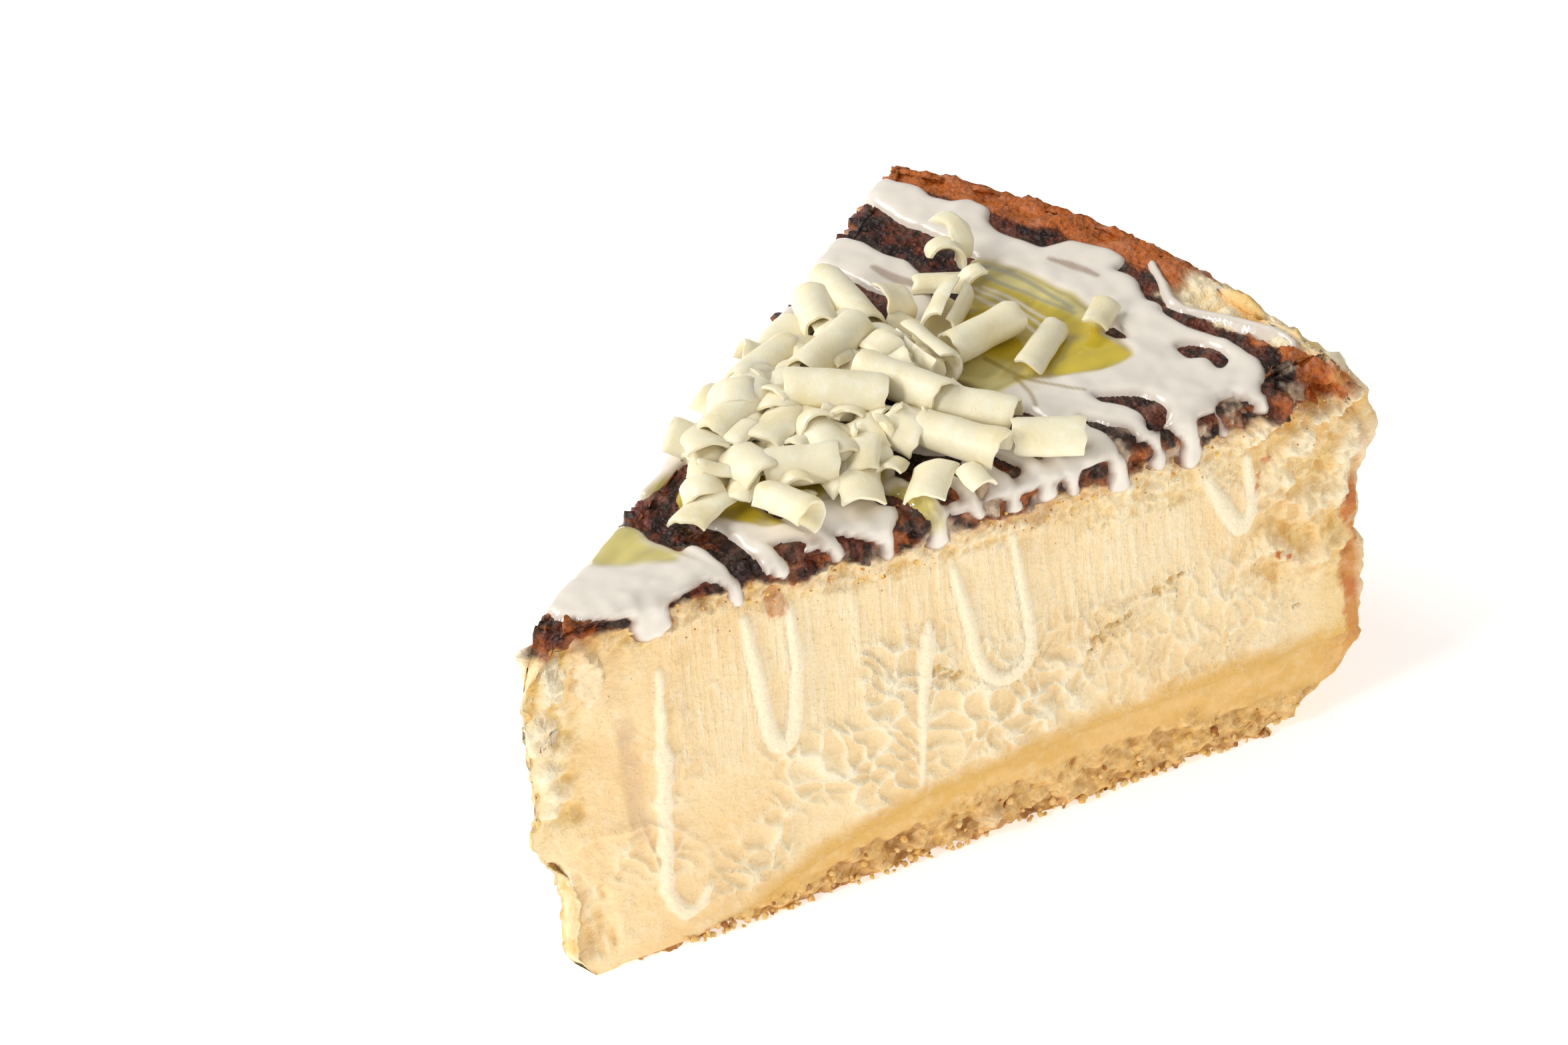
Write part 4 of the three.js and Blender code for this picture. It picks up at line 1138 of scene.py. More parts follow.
# Where syrup lies, as (outline, colour or None for the slice's own, softness of its edge)
POOLS = [
    ([(18.8, 7.8), (21.5, 7.8), (23.5, 9), (28.5, 9.5), (29.4, 7), (28.5, 4), (28.6, 1), (28.8, -2.5),
      (26, -4), (24, -2), (21.5, 0.5), (19.5, 3), (18.7, 5)], SYRUP_PALE, 1.8),
    ([(34.3, 9.5), (37, 11.5), (40, 11.5), (42.5, 11), (44.5, 9), (44.5, 3), (43.5, -1), (42.3, -4),
      (42, -8), (39.8, -8.2), (38, -5), (36.4, -1), (34.2, 2), (33.8, 6)], None, 1.0),
    ([(34, 11), (38, 12), (42, 11.6), (43, 8.6), (41, 5.5), (37, 6), (34.4, 7.2)], SYRUP_PALE, 1.6),
    ([(44, -1), (46, -7.5), (51, -9), (53.5, -12.5), (57, -12), (60, -9.5), (62, -4), (63, 3), (60, 9),
      (50, 10), (45, 6)], None, 1.6),
    ([(52.6, -14), (56, -13), (58.5, -16), (58, -20.5), (55.5, -23), (52.5, -22.5),
      (53.6, -18)], SYRUP_PALE, 1.4),
    (SYRUP_POOL, None, 1.2),
    ([(80, -1), (86, 0), (88, -6), (89, -12), (86, -11), (80.5, -9.6), (79.5, -5)], MILKY, 1.6),
    ([(74, -2), (78, -1.6), (80.4, -3), (80.6, -7), (79, -9), (76, -8), (74.4, -6)], SYRUP_BROWN, 1.2),
    ([(101.6, 13), (104.8, 14.6), (105.8, 8), (105.6, 2), (105.4, -3), (103.8, -8), (101.2, -10),
      (101.4, -4), (101, 2), (101, 8)], MILKY, 1.2),
]
# Threads that run through the syrup, as (stations of x, y and half the width, colour)
THREADS = [
    ([(97.2, 9, 0.25), (96.6, 5, 0.3), (96.2, 0, 0.25), (95.2, -5, 0.2)], PALE_ICING),
    ([(98.6, 10, 0.2), (98.2, 4, 0.3), (97.6, -1, 0.2), (96.6, -6, 0.15)], PALE_ICING),
    ([(99.6, 9, 0.2), (99.4, 3, 0.25), (98.8, -3, 0.2)], PALE_ICING),
    ([(86.4, -3, 0.3), (86.2, -9, 0.3), (87, -13, 0.25), (88.4, -19, 0.2)], SYRUP_OLIVE),
    ([(85.6, -9, 0.25), (84, -13, 0.22), (82, -16, 0.2)], SYRUP_OLIVE),
    ([(103, 14, 0.4), (104.2, 8, 0.5), (103.8, 2, 0.4), (103, -4, 0.35)], GREY_STREAK),
    ([(102, 12, 0.3), (101.6, 7, 0.35), (102, 1, 0.3), (102.4, -5, 0.25)], GREY_STREAK),
    ([(93.6, 24, 0.5), (93.6, 20, 0.8), (94.2, 15, 0.6)], THIN_ICING),
    ([(110, 6, 0.4), (111, 2, 0.7), (110.6, -2, 0.4)], THIN_ICING),
    ([(39.4, 9.6, 0.5), (39.2, 7.6, 0.5)], SYRUP_OLIVE),
    ([(42, 10, 0.5), (42.6, 7.4, 0.5)], SYRUP_OLIVE),
]


def over_edge(r, run, out, way):
    """Points over the rounded edge of a cut face, at a way from where the rounding starts: the quarter
    circle radius (1 - sin(way/radius)) in from the face, then straight down."""
    radius = edge_rounding(r)
    bend = np.minimum(way / radius, math.pi / 2)
    inside = radius * (1 - np.sin(bend))
    down = radius * (1 - np.cos(bend)) + np.maximum(way - radius * math.pi / 2, 0)
    along = np.sqrt(np.maximum(r**2 - inside**2, 0))
    p = along[..., None] * run - inside[..., None] * out
    p[..., 2] = -down
    return p


def pouring_ground():
    """Grid over a strip of the near face, its rounded edge, the top, the far rounded edge and a strip of
    the far face, with a row for each distance from the centre."""
    r = np.linspace(SHEET_START, SHEET_END, SHEET_ROWS)[:, None]
    radius = edge_rounding(r)
    quarter = radius * math.pi / 2
    falling = np.linspace(1, 0, DROP_STEPS)[None, :-1]
    bending = np.linspace(1, 0, BEND_STEPS)[None, :-1]
    near = np.concatenate((quarter + NEAR_DROP * falling, quarter * bending), 1)
    far = np.concatenate((quarter + FAR_DROP * falling[:, ::2], quarter * bending), 1)[:, ::-1]
    start = np.arcsin(np.minimum(radius / r, 0.99)) - HALF_ANGLE
    angle = start * (1 - 2 * np.linspace(0, 1, TOP_STEPS)[None])
    top = np.stack((r * np.cos(angle), r * np.sin(angle), 0 * r + 0 * angle), -1)
    ground = np.concatenate((over_edge(r + 0 * near, NEAR_RUN, NEAR_OUT, near), top,
                             over_edge(r + 0 * far, FAR_RUN, FAR_OUT, far)), 1)
    flat = ground.reshape(-1, 3)
    flat[:, 2] += top_height(flat)
    return flat.reshape(ground.shape)


def build_icing(sizes, colours):
    """Icing and syrup, as one closed sheet over the top. Inside its outline it stands h = height sqrt(t (2
    - t)) proud, t being the way in from the outline over its edge's width, and outside it dives under the
    crust."""
    ground = pouring_ground()
    rows, columns = ground.shape[:2]
    p = ground.reshape(-1, 3)
    number = np.arange(rows * columns).reshape(rows, columns)
    normals = face_normals(p, grid_quads(number))
    plan = unrolled(p)
    depth = icing_depth(plan)
    flat = np.concatenate((plan, np.zeros((len(p), 1))), 1)
    syrup = np.zeros(len(p))
    paint = np.tile(np.array(colours.icing), (len(p), 1))
    flow = noise(flat * (0.45, 1, 1), 3, 71) + 0.5 * noise(flat, 7, 72)
    paint = blend(paint, PALE_ICING, 0.45 * smooth(flow, 0.3, 0.9))
    over = smooth(plan @ NEAR_OUT[:2], -4.5, 0)
    sheer = (1 - smooth(depth, 0.1, 1.0)) * (0.25 + 0.5 * over * smooth(noise(flat, 2.6, 77), -0.3, 0.3))
    paint = blend(paint, THIN_ICING, sheer)
    paint = blend(paint, np.array(colours.crust_red), 0.8 * over * (1 - smooth(depth, -0.1, 0.35)))
    waver = 0.3 * noise(flat, 3, 73)
    depths = (1 + 0.24 * noise(flat * (0.4, 1, 1), 2.4, 74))[:, None]
    olive = 0.55 * smooth(noise(flat * (0.3, 1, 1), 3, 78), 0.05, 0.45)
    streaks = 0.6 * smooth(noise(flat * (1, 0.35, 1), 2.6, 79), 0.1, 0.5)
    for outline, colour, softness in POOLS:
        inside = inside_outline(plan, from_view(outline)) + waver
        share = smooth(inside, -0.3 * softness, softness)
        tone = np.array(colours.syrup if colour is None else colour) * depths
        tone = blend(tone, SYRUP_OLIVE, olive)
        tone = blend(tone, paint, streaks * (1 - smooth(inside, 0.5, 2.5)))
        paint = blend(paint, tone, share * 0.96)
        syrup = np.maximum(syrup, share)
    rim = between(depth, 0, 0.9, 0.4) * syrup
    paint = blend(paint, SYRUP_OLIVE, 0.3 * rim)
    for stations, colour in THREADS:
        place = from_view([point[:2] for point in stations])
        line = inside_strand(plan, [(*xy, point[2]) for xy, point in zip(place, stations)])
        paint = blend(paint, colour, 0.7 * smooth(line, -0.35, 0.25))
    t = np.clip(depth / ICING_EDGE, 0, 1)
    uneven = 1 + 0.18 * noise(flat, 5, 75) + (0.08 + 0.3 * over) * noise(flat, 2.2, 76)
    full = 1000 * sizes.icing_height * uneven
    full = full + (1000 * sizes.syrup_height - full) * syrup
    h = np.where(depth > 0, full * np.sqrt(t * (2 - t)), -SUNKEN * np.sqrt(np.clip(-depth / 1.6, 0, 1)))
    upper = p + normals * (h + crust_waves(p))[:, None]
    lower = p - normals * SHEET_WALL
    shown = (depth > -1.1).reshape(rows, columns)
    keep = shown[:-1, :-1] | shown[1:, :-1] | shown[1:, 1:] | shown[:-1, 1:]
    points, quads, source = closed_sheet(upper.reshape(ground.shape), lower.reshape(ground.shape), keep)
    make_piece("icing_and_syrup", points, quads.tolist(), icing_finish(),
               {"paint": paint[source], "syrup": syrup[source]})


# Chocolate curls
# Kinds of curl: radius, degrees that the chocolate runs round, and how much the radius grows on the way
ROLL = {"radius": 1.9, "span": 335, "spread": 0.25}
CHANNEL = {"radius": 2.25, "span": 245, "spread": 0.14}
CHIP = {"radius": 3.8, "span": 92, "spread": 0.1}
SHARD = {"radius": 2.3, "span": 100, "spread": 0.1}
RING = {"radius": 2.2, "span": 290, "spread": 0.14}
CURL_STEPS = (16, 24)  # points along a curl and across it
HEAP_FLOOR = CAKE_HEIGHT + 1.3  # height of the icing under the heap
HEAP_MIDDLE = (60, 4)  # the small chips lie in an ellipse round it
HEAP_REACH = (20, 15)
# Curls of the heap: kind, x, y, turn in plan in degrees, length, lift over the icing, roll and pitch
HEAP_CURLS = [
    (CHANNEL, 61.5, 0.8, -54, 14, 3.4, 0, 4), (CHANNEL, 69, 9, 10, 14, 2.6, 0, 0),
    (CHANNEL, 69.2, -4, -82, 13.5, 2.6, 0, 2), (CHANNEL, 81, 17.5, 68, 15, 0.4, 0, 0),
    (CHANNEL, 62, 14.5, 4, 11, 1.4, 0, 0), (CHANNEL, 51, 9.5, 6, 12, 1.4, 0, -3),
    (CHIP, 44, 9, 60, 9, 0.8, 10, 12), (CHIP, 52, 3, 12, 9, 3.2, 0, 0), (CHIP, 44, 0.5, 74, 8, 1.6, -12, 8),
    (CHANNEL, 49, -4.4, -42, 10, 0.8, 0, 0), (CHIP, 55, -3, 66, 12, 2.6, 8, 0),
    (CHANNEL, 72.5, -13.6, -66, 12, 0.8, 0, 0), (CHANNEL, 67, -16.6, -74, 12.5, 0.2, 0, 3),
    (ROLL, 78.5, 0.5, 75, 11, 0, 150, 0), (CHIP, 77, 7, 70, 7, 1.4, 14, 10),
    (CHIP, 70, 19.6, 16, 10, 0.4, 0, 0), (CHANNEL, 76.5, 18.5, 52, 10, 0.4, 0, 6),
    (CHIP, 58, 7, 34, 10, 3.6, 0, 0), (CHIP, 55.6, -8.6, 40, 7, 0.6, -16, 0),
    (CHIP, 51.8, -12.2, 50, 8.5, 0.2, 10, 0), (RING, 64.6, -9.6, 42, 1.9, 0.6, 190, 8),
    (RING, 59.4, -7.4, 52, 1.7, 0.9, 150, -10),
]
# Curls that lie by themselves, in the same way
LOOSE_CURLS = [
    (ROLL, 87.5, -1.5, -8, 12, 0, 120, 0), (SHARD, 92, -8.4, 20, 12, 0, 24, 0),
    (SHARD, 102.4, -9.8, 25, 6, 0, 20, 0), (ROLL, 89, 6, 26, 10, 0, 200, 0),
    (SHARD, 95.5, 13, -52, 8, 0, 12, 0), (CHIP, 34.6, 0.4, 10, 8, 0, -8, 0),
    (CHANNEL, 40.6, -9.8, 94, 8.5, 0, 40, 0), (CHIP, 58.4, -18.4, 30, 8, 0, -10, 0),
    (CHANNEL, 75.4, -24.2, -50, 9.5, 0, 0, 0),
]
# Flakes between the curls, as (x, y, length)
FLAKES = [(98.5, 15, 4), (96.5, 8.5, 3), (79, 22, 6), (71.5, 16.5, 5), (59, -6.5, 6), (62.5, -22.5, 5),
          (41, -1, 6), (41, 3.6, 5), (102, 17, 3), (37.5, 2.5, 4), (77, 6, 5), (83, 8, 6), (50, -9.5, 4),
          (46, -6, 4), (63.5, -10, 6), (57.5, -12.5, 4), (66.5, -8.5, 5), (73, -9, 5), (80, 12, 5),
          (44, 12, 5), (85, 12.5, 5)]
CHOCOLATE_SHADE = linear(234, 216, 164)


def curl_sheet(length, wall, seed, radius, span, spread):
    """Grids of the outer and inner side of a curl: angle = 90 + span (t - 1/2) degrees at radius (1 +
    spread t) + a slow ripple, with ends that slant and fray and a wall that thins to its edges."""
    rng = np.random.default_rng(seed)
    slant, cone, bow = rng.uniform(-0.12, 0.12), rng.uniform(-0.1, 0.1), rng.uniform(-0.3, 0.3)
    along, across = CURL_STEPS
    a = np.linspace(-0.5, 0.5, along)[:, None] + np.zeros((1, across))
    t = np.linspace(0, 1, across)[None] + np.zeros((along, 1))
    place = np.stack((a * length, t * radius * math.radians(span), 0 * a), -1).reshape(-1, 3)
    ragged = noise(place * (0.15, 1, 1) + seed * 7.3, 1.6, 91).reshape(a.shape)
    wave = noise(place + seed * 3.1, 4, 92).reshape(a.shape)
    twist = 0.08 * noise(place * (1, 0.1, 1), 3, 93).reshape(a.shape)
    turn = np.radians(90 + span * (t - 0.5)) + twist * (2 * t - 1)
    x = length * (a * (1 - 0.06 * (2 * t - 1) ** 2) + slant * (t - 0.5) * 0.5)
    x = x + 0.5 * ragged * (2 * a) ** 4 * np.sign(a)
    reach = radius * (1 + spread * t + cone * 2 * a) + 0.16 * wave
    edge = np.minimum(np.minimum(t, 1 - t) * radius * math.radians(span), (0.5 - np.abs(a)) * length)
    thick = wall * (0.45 + 0.55 * smooth(edge, 0, 0.7)) * (1 + 0.15 * wave)
    lift = bow * (2 * a) ** 2
    sides = []
    for reached in (reach + thick / 2, reach - thick / 2):
        sides.append(np.stack((x, reached * np.cos(turn), reached * np.sin(turn) + lift), -1))
    return sides


def laid(points, x, y, turn, lift, roll, pitch, floor):
    """Turns points about X by roll, Y by pitch and Z by turn, and sets the lowest of them lift over the
    floor."""
    spin = Matrix.Rotation(math.radians(turn), 3, "Z") @ Matrix.Rotation(math.radians(pitch), 3, "Y")
    spin = np.array(spin @ Matrix.Rotation(math.radians(roll), 3, "X"))
    moved = points @ spin.T
    middle = (moved.max(0) + moved.min(0)) / 2
    return moved - (*middle[:2], moved[:, 2].min()) + (x, y, floor + lift)


def one_curl(kind, x, y, turn, length, lift, roll, pitch, seed, floor, sizes):
    """Points and quads of one laid curl."""
    upper, lower = curl_sheet(length, 1000 * sizes.curl_wall, seed, **kind)
    keep = np.ones((CURL_STEPS[0] - 1, CURL_STEPS[1] - 1), bool)
    points, quads, _ = closed_sheet(upper, lower, keep)
    return laid(points, x, y, turn, lift, roll, pitch, floor), quads


def chocolate_paint(points, seed, colours):
    """Ivory with slow yellower patches."""
    ivory = np.tile(np.array(colours.chocolate), (len(points), 1))
    return blend(ivory, CHOCOLATE_SHADE, 0.6 * smooth(noise(points, 5, seed), -0.1, 0.6))


def joined(parts):
    """One list of points and one of faces from many (points, quads)."""
    points, quads, count = [], [], 0
    for place, faces in parts:
        points.append(place)
        quads.append(faces + count)
        count += len(place)
    return np.concatenate(points), np.concatenate(quads)


def build_heap(sizes, colours):
    """The heap of curls over a core of smaller chips."""
    rng = np.random.default_rng(5)
    parts = [one_curl(*curl, 100 + k, HEAP_FLOOR, sizes) for k, curl in enumerate(HEAP_CURLS)]
    for k in range(sizes.chip_count):
        way = rng.uniform(0, 1)
        x = rng.normal(46 + 30 * way, 4)
        y = rng.normal(4 + 5 * way, 5.5)
        inside = 1 - ((x - HEAP_MIDDLE[0]) / HEAP_REACH[0]) ** 2 - ((y - HEAP_MIDDLE[1]) / HEAP_REACH[1]) ** 2
        if inside < 0 or abs(y) > 0.3 * x:
            continue
        kind = {"radius": rng.uniform(1.6, 3.8), "span": rng.uniform(60, 170), "spread": 0.12}
        turn = rng.uniform(0, 180)
        length = rng.uniform(2.5, 7.5)
        lift = rng.uniform(0, 2.6 * inside)
        roll = rng.uniform(-40, 40)
        pitch = rng.uniform(-25, 25)
        parts.append(one_curl(kind, x, y, turn, length, lift, roll, pitch, 200 + k, HEAP_FLOOR - 0.6, sizes))
    points, quads = joined(parts)
    make_piece("curls_in_a_heap", points, quads.tolist(), chocolate_finish(),
               {"paint": chocolate_paint(points, 94, colours)}, ["curl_heap"], crisp=True)


def build_loose_curls(sizes, colours):
    """The curls that lie by themselves, each in its CAD solid's place."""
    finish = chocolate_finish()
    for k, curl in enumerate(LOOSE_CURLS):
        node = f"curl_{k + 1}"
        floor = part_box(node)[0].z * 1000
        points, quads = one_curl(*curl, 300 + k, floor - 0.35, sizes)
        make_piece(f"loose_{node}", points, quads.tolist(), finish,
                   {"paint": chocolate_paint(points, 95, colours)}, [node], crisp=True)


def build_flakes(sizes, colours):
    """Small shards of chocolate between the curls."""
    rng = np.random.default_rng(8)
    parts = []
    for k, (x, y, length) in enumerate(FLAKES):
        kind = {"radius": rng.uniform(1.8, 3.4), "span": rng.uniform(70, 190), "spread": 0.15}
        turn = rng.uniform(0, 180)
        roll = rng.uniform(-50, 50)
        pitch = rng.uniform(-20, 20)
        parts.append(one_curl(kind, x, y, turn, length, 0.1, roll, pitch, 400 + k, HEAP_FLOOR, sizes))
    points, quads = joined(parts)
    make_piece("chocolate_flakes", points, quads.tolist(), chocolate_finish(),
               {"paint": chocolate_paint(points, 96, colours)}, crisp=True)


# Crumbs
def lump_shape():
    """Points and triangles of a ball of 32 faces: an octahedron whose edges are halved and pushed out."""
    corners = np.array([(1, 0, 0), (-1, 0, 0), (0, 1, 0), (0, -1, 0), (0, 0, 1), (0, 0, -1)], float)
    points = corners.tolist()
    halves = {}

    def half(a, b):
        key = (min(a, b), max(a, b))
        if key not in halves:
            halves[key] = len(points)
            middle = (np.array(points[a]) + points[b]) / 2
            points.append((middle / np.linalg.norm(middle)).tolist())
        return halves[key]

    faces = []
    for a, b, c in ((0, 2, 4), (2, 1, 4), (1, 3, 4), (3, 0, 4), (2, 0, 5), (1, 2, 5), (3, 1, 5), (0, 3, 5)):
        ab, bc, ca = half(a, b), half(b, c), half(c, a)
        faces += [(a, ab, ca), (ab, b, bc), (ca, bc, c), (ab, bc, ca)]
    return np.array(points), np.array(faces)


def build_crumbs(sizes, colours):
    """Crumbs of the base along its foot and on its face, and golden ones under the browned skin."""
    sand, soaked, brown = (np.array(c) for c in (colours.sand, colours.soaked, colours.baked_bits))
    rng = np.random.default_rng(11)
    ball, faces = lump_shape()
    count = sizes.crumb_count
    s = rng.uniform(20, 122, count)
    kind = rng.choice(3, count, p=(0.3, 0.4, 0.3))
    at_foot = rng.uniform(0.2, 0.6, count)
    on_base = rng.uniform(0.6, 6, count) * np.clip((s - 10) / 50, 0.3, 1)
    under_skin = skin_low(s) - rng.uniform(-0.4, 3.0, count)
    z = np.choose(kind, (at_foot, on_base, under_skin))
    out = np.choose(kind, (rng.uniform(-0.6, 0.5, count), rng.uniform(-0.1, 0.35, count),
                           rng.uniform(-0.1, 0.3, count)))
    size = np.choose(kind, (rng.uniform(0.2, 0.55, count), rng.uniform(0.25, 0.7, count),
                            rng.uniform(0.12, 0.36, count)))
    far = rng.random(count) < 0.35
    run = np.where(far[:, None], FAR_RUN, NEAR_RUN)
    face = np.where(far[:, None], FAR_OUT, NEAR_OUT)
    reach = np.minimum(s, rind_distance(z) - 1.5)
    middle = reach[:, None] * run + out[:, None] * face
    middle[:, 2] = np.maximum(z, size * 0.8 + 0.15)
    shape = ball[None] * (size[:, None] * rng.uniform(0.6, 1.2, (count, 3)))[:, None]
    points = (middle[:, None] + shape).reshape(-1, 3)
    points += 0.18 * np.stack([noise(points, 0.8, 97 + k) for k in range(3)], -1)
    points[:, 2] = np.maximum(points[:, 2], 0.02)
    triangles = (faces[None] + (np.arange(count) * len(ball))[:, None, None]).reshape(-1, 3)
    tone = rng.random(count)
    colour = np.where((tone < 0.14)[:, None], brown, np.where((tone < 0.5)[:, None], soaked, sand))
    colour = np.where((kind == 2)[:, None], np.where((tone < 0.3)[:, None], RIND_GOLD, GOLD), colour)
    paint = np.repeat(colour, len(ball), 0)
    make_piece("crumbs", points, triangles.tolist(), shortcrust_finish(),
               {"paint": paint, "crumbly": np.ones(len(points))})


# The stage
CAMERA_AZIMUTH = math.radians(-44.47)
CAMERA_HEIGHT_ANGLE = math.radians(34.9)
CAMERA_ROLL = math.radians(-3.98)
CAMERA_DISTANCE = 813.7
CAMERA_LENS = 137.76
LOOKED_AT = Vector((60, 0, 24))
LOOK_OFFSET = (-7.65, 16.58)
FLOOR_HALF = 4.0  # half the floor's width in metres
SURROUNDINGS = 0.4  # strength of the white surroundings
# Lamps: name, metres to the camera's right, towards it and up, width in metres, and power in watts
LAMPS = (
    ("key", -0.75, -0.3, 0.75, 0.6, 6.7),
    ("side", -0.8, 0.6, 0.62, 0.3, 4.8),
    ("front", 0.55, 0.9, 0.3, 0.8, 2.4),
)


def build_stage(sizes, colours):
    """Floor, soft lights, white surroundings and the camera."""
    floor_mesh = bpy.data.meshes.new("floor")
    corners = [(x * FLOOR_HALF, y * FLOOR_HALF, 0) for x, y in ((-1, -1), (1, -1), (1, 1), (-1, 1))]
    floor_mesh.from_pydata(corners, [], [(0, 1, 2, 3)])
    floor = bpy.data.objects.new("floor", floor_mesh)
    bpy.context.collection.objects.link(floor)
    paper = Finish("pale floor")
    floor_mesh.materials.append(paper.set(Base_Color=opaque(linear(250, 250, 249)), Roughness=0.8,
                                          Emission_Color=(1.0, 0.985, 0.96, 1.0), Emission_Strength=0.5))

    a, e = CAMERA_AZIMUTH, CAMERA_HEIGHT_ANGLE
    back = Vector((math.sin(a) * math.cos(e), -math.cos(a) * math.cos(e), math.sin(e)))
    right = Vector((math.cos(a), math.sin(a), 0))
    up = back.cross(right)
    c, s = math.cos(CAMERA_ROLL), math.sin(CAMERA_ROLL)
    across, upright = c * right + s * up, c * up - s * right
    place = LOOKED_AT + LOOK_OFFSET[0] * right + LOOK_OFFSET[1] * up + CAMERA_DISTANCE * back
    camera = bpy.data.objects.new("camera", bpy.data.cameras.new("camera"))
    camera.data.lens = CAMERA_LENS
    camera.data.sensor_width = 36
    camera.data.clip_start = 0.01
    turn = Matrix((across, upright, back)).transposed().to_4x4()
    camera.matrix_world = Matrix.Translation((place - Vector((CENTRE_TO_ORIGIN, 0, 0))) / 1000) @ turn
    bpy.context.collection.objects.link(camera)
    bpy.context.scene.camera = camera

    world = bpy.data.worlds.new("surroundings")
    world.use_nodes = True
    background = world.node_tree.nodes["Background"]
    background.inputs["Color"].default_value = (1, 1, 1, 1)
    background.inputs["Strength"].default_value = SURROUNDINGS
    bpy.context.scene.world = world
    bpy.context.scene.view_settings.view_transform = "Standard"
    flat_back = Vector((back.x, back.y, 0)).normalized()
    for name, sideways, towards, high, size, power in LAMPS:
        light = bpy.data.lights.new(name, "AREA")
        light.shape = "DISK"
        light.size = size
        light.energy = power * sizes.light
        lamp = bpy.data.objects.new(name, light)
        lamp.location = right * sideways + flat_back * towards + Vector((0, 0, high))
        lamp.rotation_euler = (lamp.location - Vector((0, 0, 0.03))).to_track_quat("Z", "Y").to_euler()
        bpy.context.collection.objects.link(lamp)


# The add-on
def colour_property(name, description, red, green, blue):
    """A colour that a user would change, with an sRGB default given from 0 to 255."""
    default = tuple(float(c) for c in linear(red, green, blue))
    return FloatVectorProperty(name=name, description=description, subtype="COLOR", size=3, min=0, max=1,
                               default=default)


class SliceSizes(PropertyGroup):
    """Sizes and counts that a user would change."""

    relief: FloatProperty(
        name="Relief", description="Depth of the relief of the cut faces and the crust",
        default=1.0, min=0.0, max=2.0, subtype="FACTOR")
    icing_height: FloatProperty(
        name="Icing height", description="How far the icing stands proud of the crust",
        default=0.001, min=0.0002, max=0.004, unit="LENGTH")
    syrup_height: FloatProperty(
        name="Syrup height", description="How far the syrup stands proud of the crust",
        default=0.0008, min=0.0002, max=0.003, unit="LENGTH")
    curl_wall: FloatProperty(
        name="Curl wall", description="Thickness of the chocolate that the curls are made of",
        default=0.00085, min=0.0003, max=0.002, unit="LENGTH")
    chip_count: IntProperty(
        name="Small chips", description="How many small chips are thrown between the curls",
        default=110, min=0, max=200)
    crumb_count: IntProperty(
        name="Crumbs", description="How many loose crumbs lie on and round the slice",
        default=520, min=1, max=3000)
    light: FloatProperty(
        name="Light", description="Strength of the lamps",
        default=1.0, min=0.0, max=4.0, subtype="FACTOR")


class SliceColours(PropertyGroup):
    """Colours that a user would change."""

    cream: colour_property("Filling", "Baked cream cheese where it is cut", 252, 225, 177)
    soaked: colour_property("Soaked band", "Shortcrust soaked with fat under the filling", 230, 184, 106)
    sand: colour_property("Crumbs", "Dry crumbs of the shortcrust", 240, 198, 132)
    baked_bits: colour_property("Baked bits", "Darkest bits of the shortcrust", 170, 108, 54)
    crust_dark: colour_property("Dark crust", "Darkest skin of the top", 36, 13, 7)
    crust_red: colour_property("Red crust", "Lighter skin of the top", 104, 42, 16)
    rim: colour_property("Rim", "Orange-brown rim and rind", 200, 106, 38)
    icing: colour_property("Icing", "Poured white icing", 236, 227, 213)
    syrup: colour_property("Syrup", "Yellow syrup", 204, 178, 12)
    chocolate: colour_property("Chocolate", "White chocolate curls", 243, 232, 198)


def building(build):
    """The execute method of an operator that builds a piece from the scene's sizes and colours."""

    def execute(self, context):
        build(context.scene.slice_sizes, context.scene.slice_colours)
        return {"FINISHED"}

    return execute


class CHEESECAKE_OT_filling(Operator):
    """Builds the filling with its browned skin and its near cut face"""

    bl_idname = "cheesecake.filling"
    bl_label = "Filling"
    execute = building(build_filling)


class CHEESECAKE_OT_base(Operator):
    """Builds the shortcrust base"""

    bl_idname = "cheesecake.base"
    bl_label = "Shortcrust base"
    execute = building(build_base)


class CHEESECAKE_OT_icing(Operator):
    """Builds the poured icing and syrup"""

    bl_idname = "cheesecake.icing"
    bl_label = "Icing and syrup"
    execute = building(build_icing)


class CHEESECAKE_OT_heap(Operator):
    """Builds the heap of chocolate curls"""

    bl_idname = "cheesecake.heap"
    bl_label = "Heap of curls"
    execute = building(build_heap)


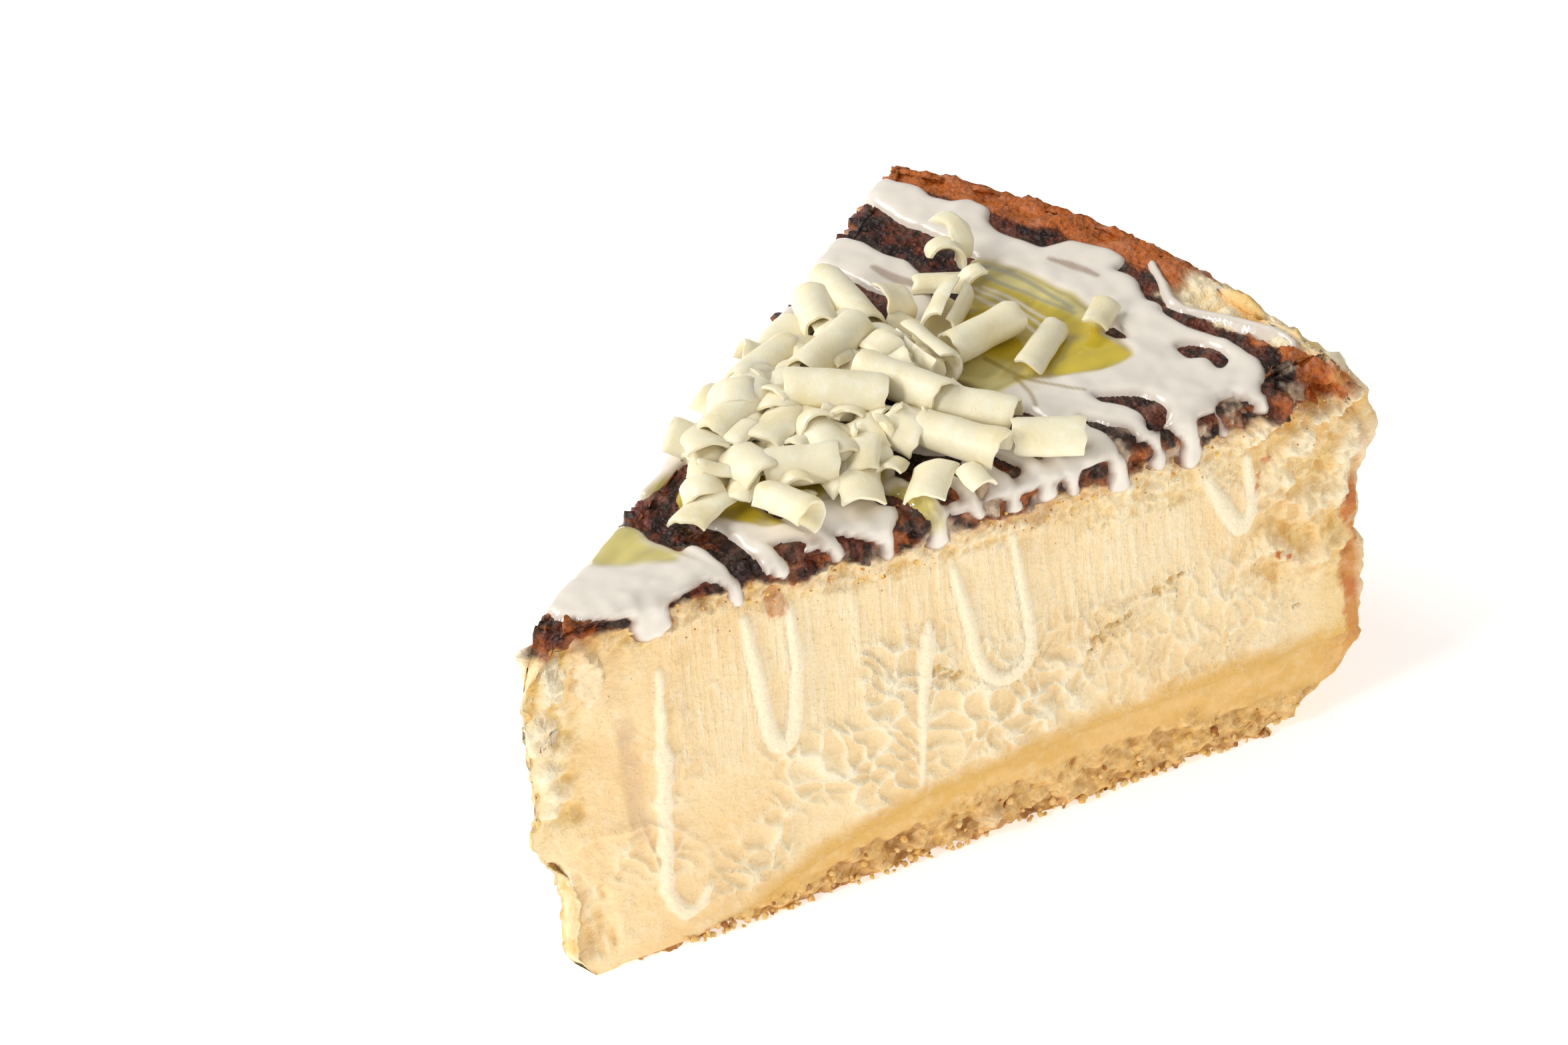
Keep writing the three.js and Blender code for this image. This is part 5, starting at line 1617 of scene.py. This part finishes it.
class CHEESECAKE_OT_loose_curls(Operator):
    """Builds the curls that lie by themselves"""

    bl_idname = "cheesecake.loose_curls"
    bl_label = "Loose curls"
    execute = building(build_loose_curls)


class CHEESECAKE_OT_flakes(Operator):
    """Builds the small flakes of chocolate between the curls"""

    bl_idname = "cheesecake.flakes"
    bl_label = "Flakes"
    execute = building(build_flakes)


class CHEESECAKE_OT_crumbs(Operator):
    """Builds the crumbs on the base and under the browned skin"""

    bl_idname = "cheesecake.crumbs"
    bl_label = "Crumbs"
    execute = building(build_crumbs)


class CHEESECAKE_OT_stage(Operator):
    """Builds the floor, the lamps, the surroundings and the camera"""

    bl_idname = "cheesecake.stage"
    bl_label = "Floor, lamps and camera"
    execute = building(build_stage)


STEPS = (CHEESECAKE_OT_filling, CHEESECAKE_OT_base, CHEESECAKE_OT_icing, CHEESECAKE_OT_heap,
         CHEESECAKE_OT_loose_curls, CHEESECAKE_OT_flakes, CHEESECAKE_OT_crumbs, CHEESECAKE_OT_stage)


class CHEESECAKE_PT_slice(Panel):
    """Sizes, colours and pieces of the slice"""

    bl_idname = "CHEESECAKE_PT_slice"
    bl_label = "Cheesecake slice"
    bl_space_type = "VIEW_3D"
    bl_region_type = "UI"
    bl_category = "Cheesecake"

    def draw(self, context):
        for group in (context.scene.slice_sizes, context.scene.slice_colours):
            box = self.layout.box()
            for name in group.__annotations__:
                box.prop(group, name)
        for step in STEPS:
            self.layout.operator(step.bl_idname)


CLASSES = (SliceSizes, SliceColours, *STEPS, CHEESECAKE_PT_slice)


def register():
    for entry in CLASSES:
        bpy.utils.register_class(entry)
    bpy.types.Scene.slice_sizes = PointerProperty(type=SliceSizes)
    bpy.types.Scene.slice_colours = PointerProperty(type=SliceColours)


def unregister():
    del bpy.types.Scene.slice_colours
    del bpy.types.Scene.slice_sizes
    for entry in reversed(CLASSES):
        bpy.utils.unregister_class(entry)


def main():
    """Registers the classes and builds each piece."""
    register()
    for step in STEPS:
        getattr(bpy.ops.cheesecake, step.bl_idname.split(".")[1])()


if __name__ == "__main__":
    main()
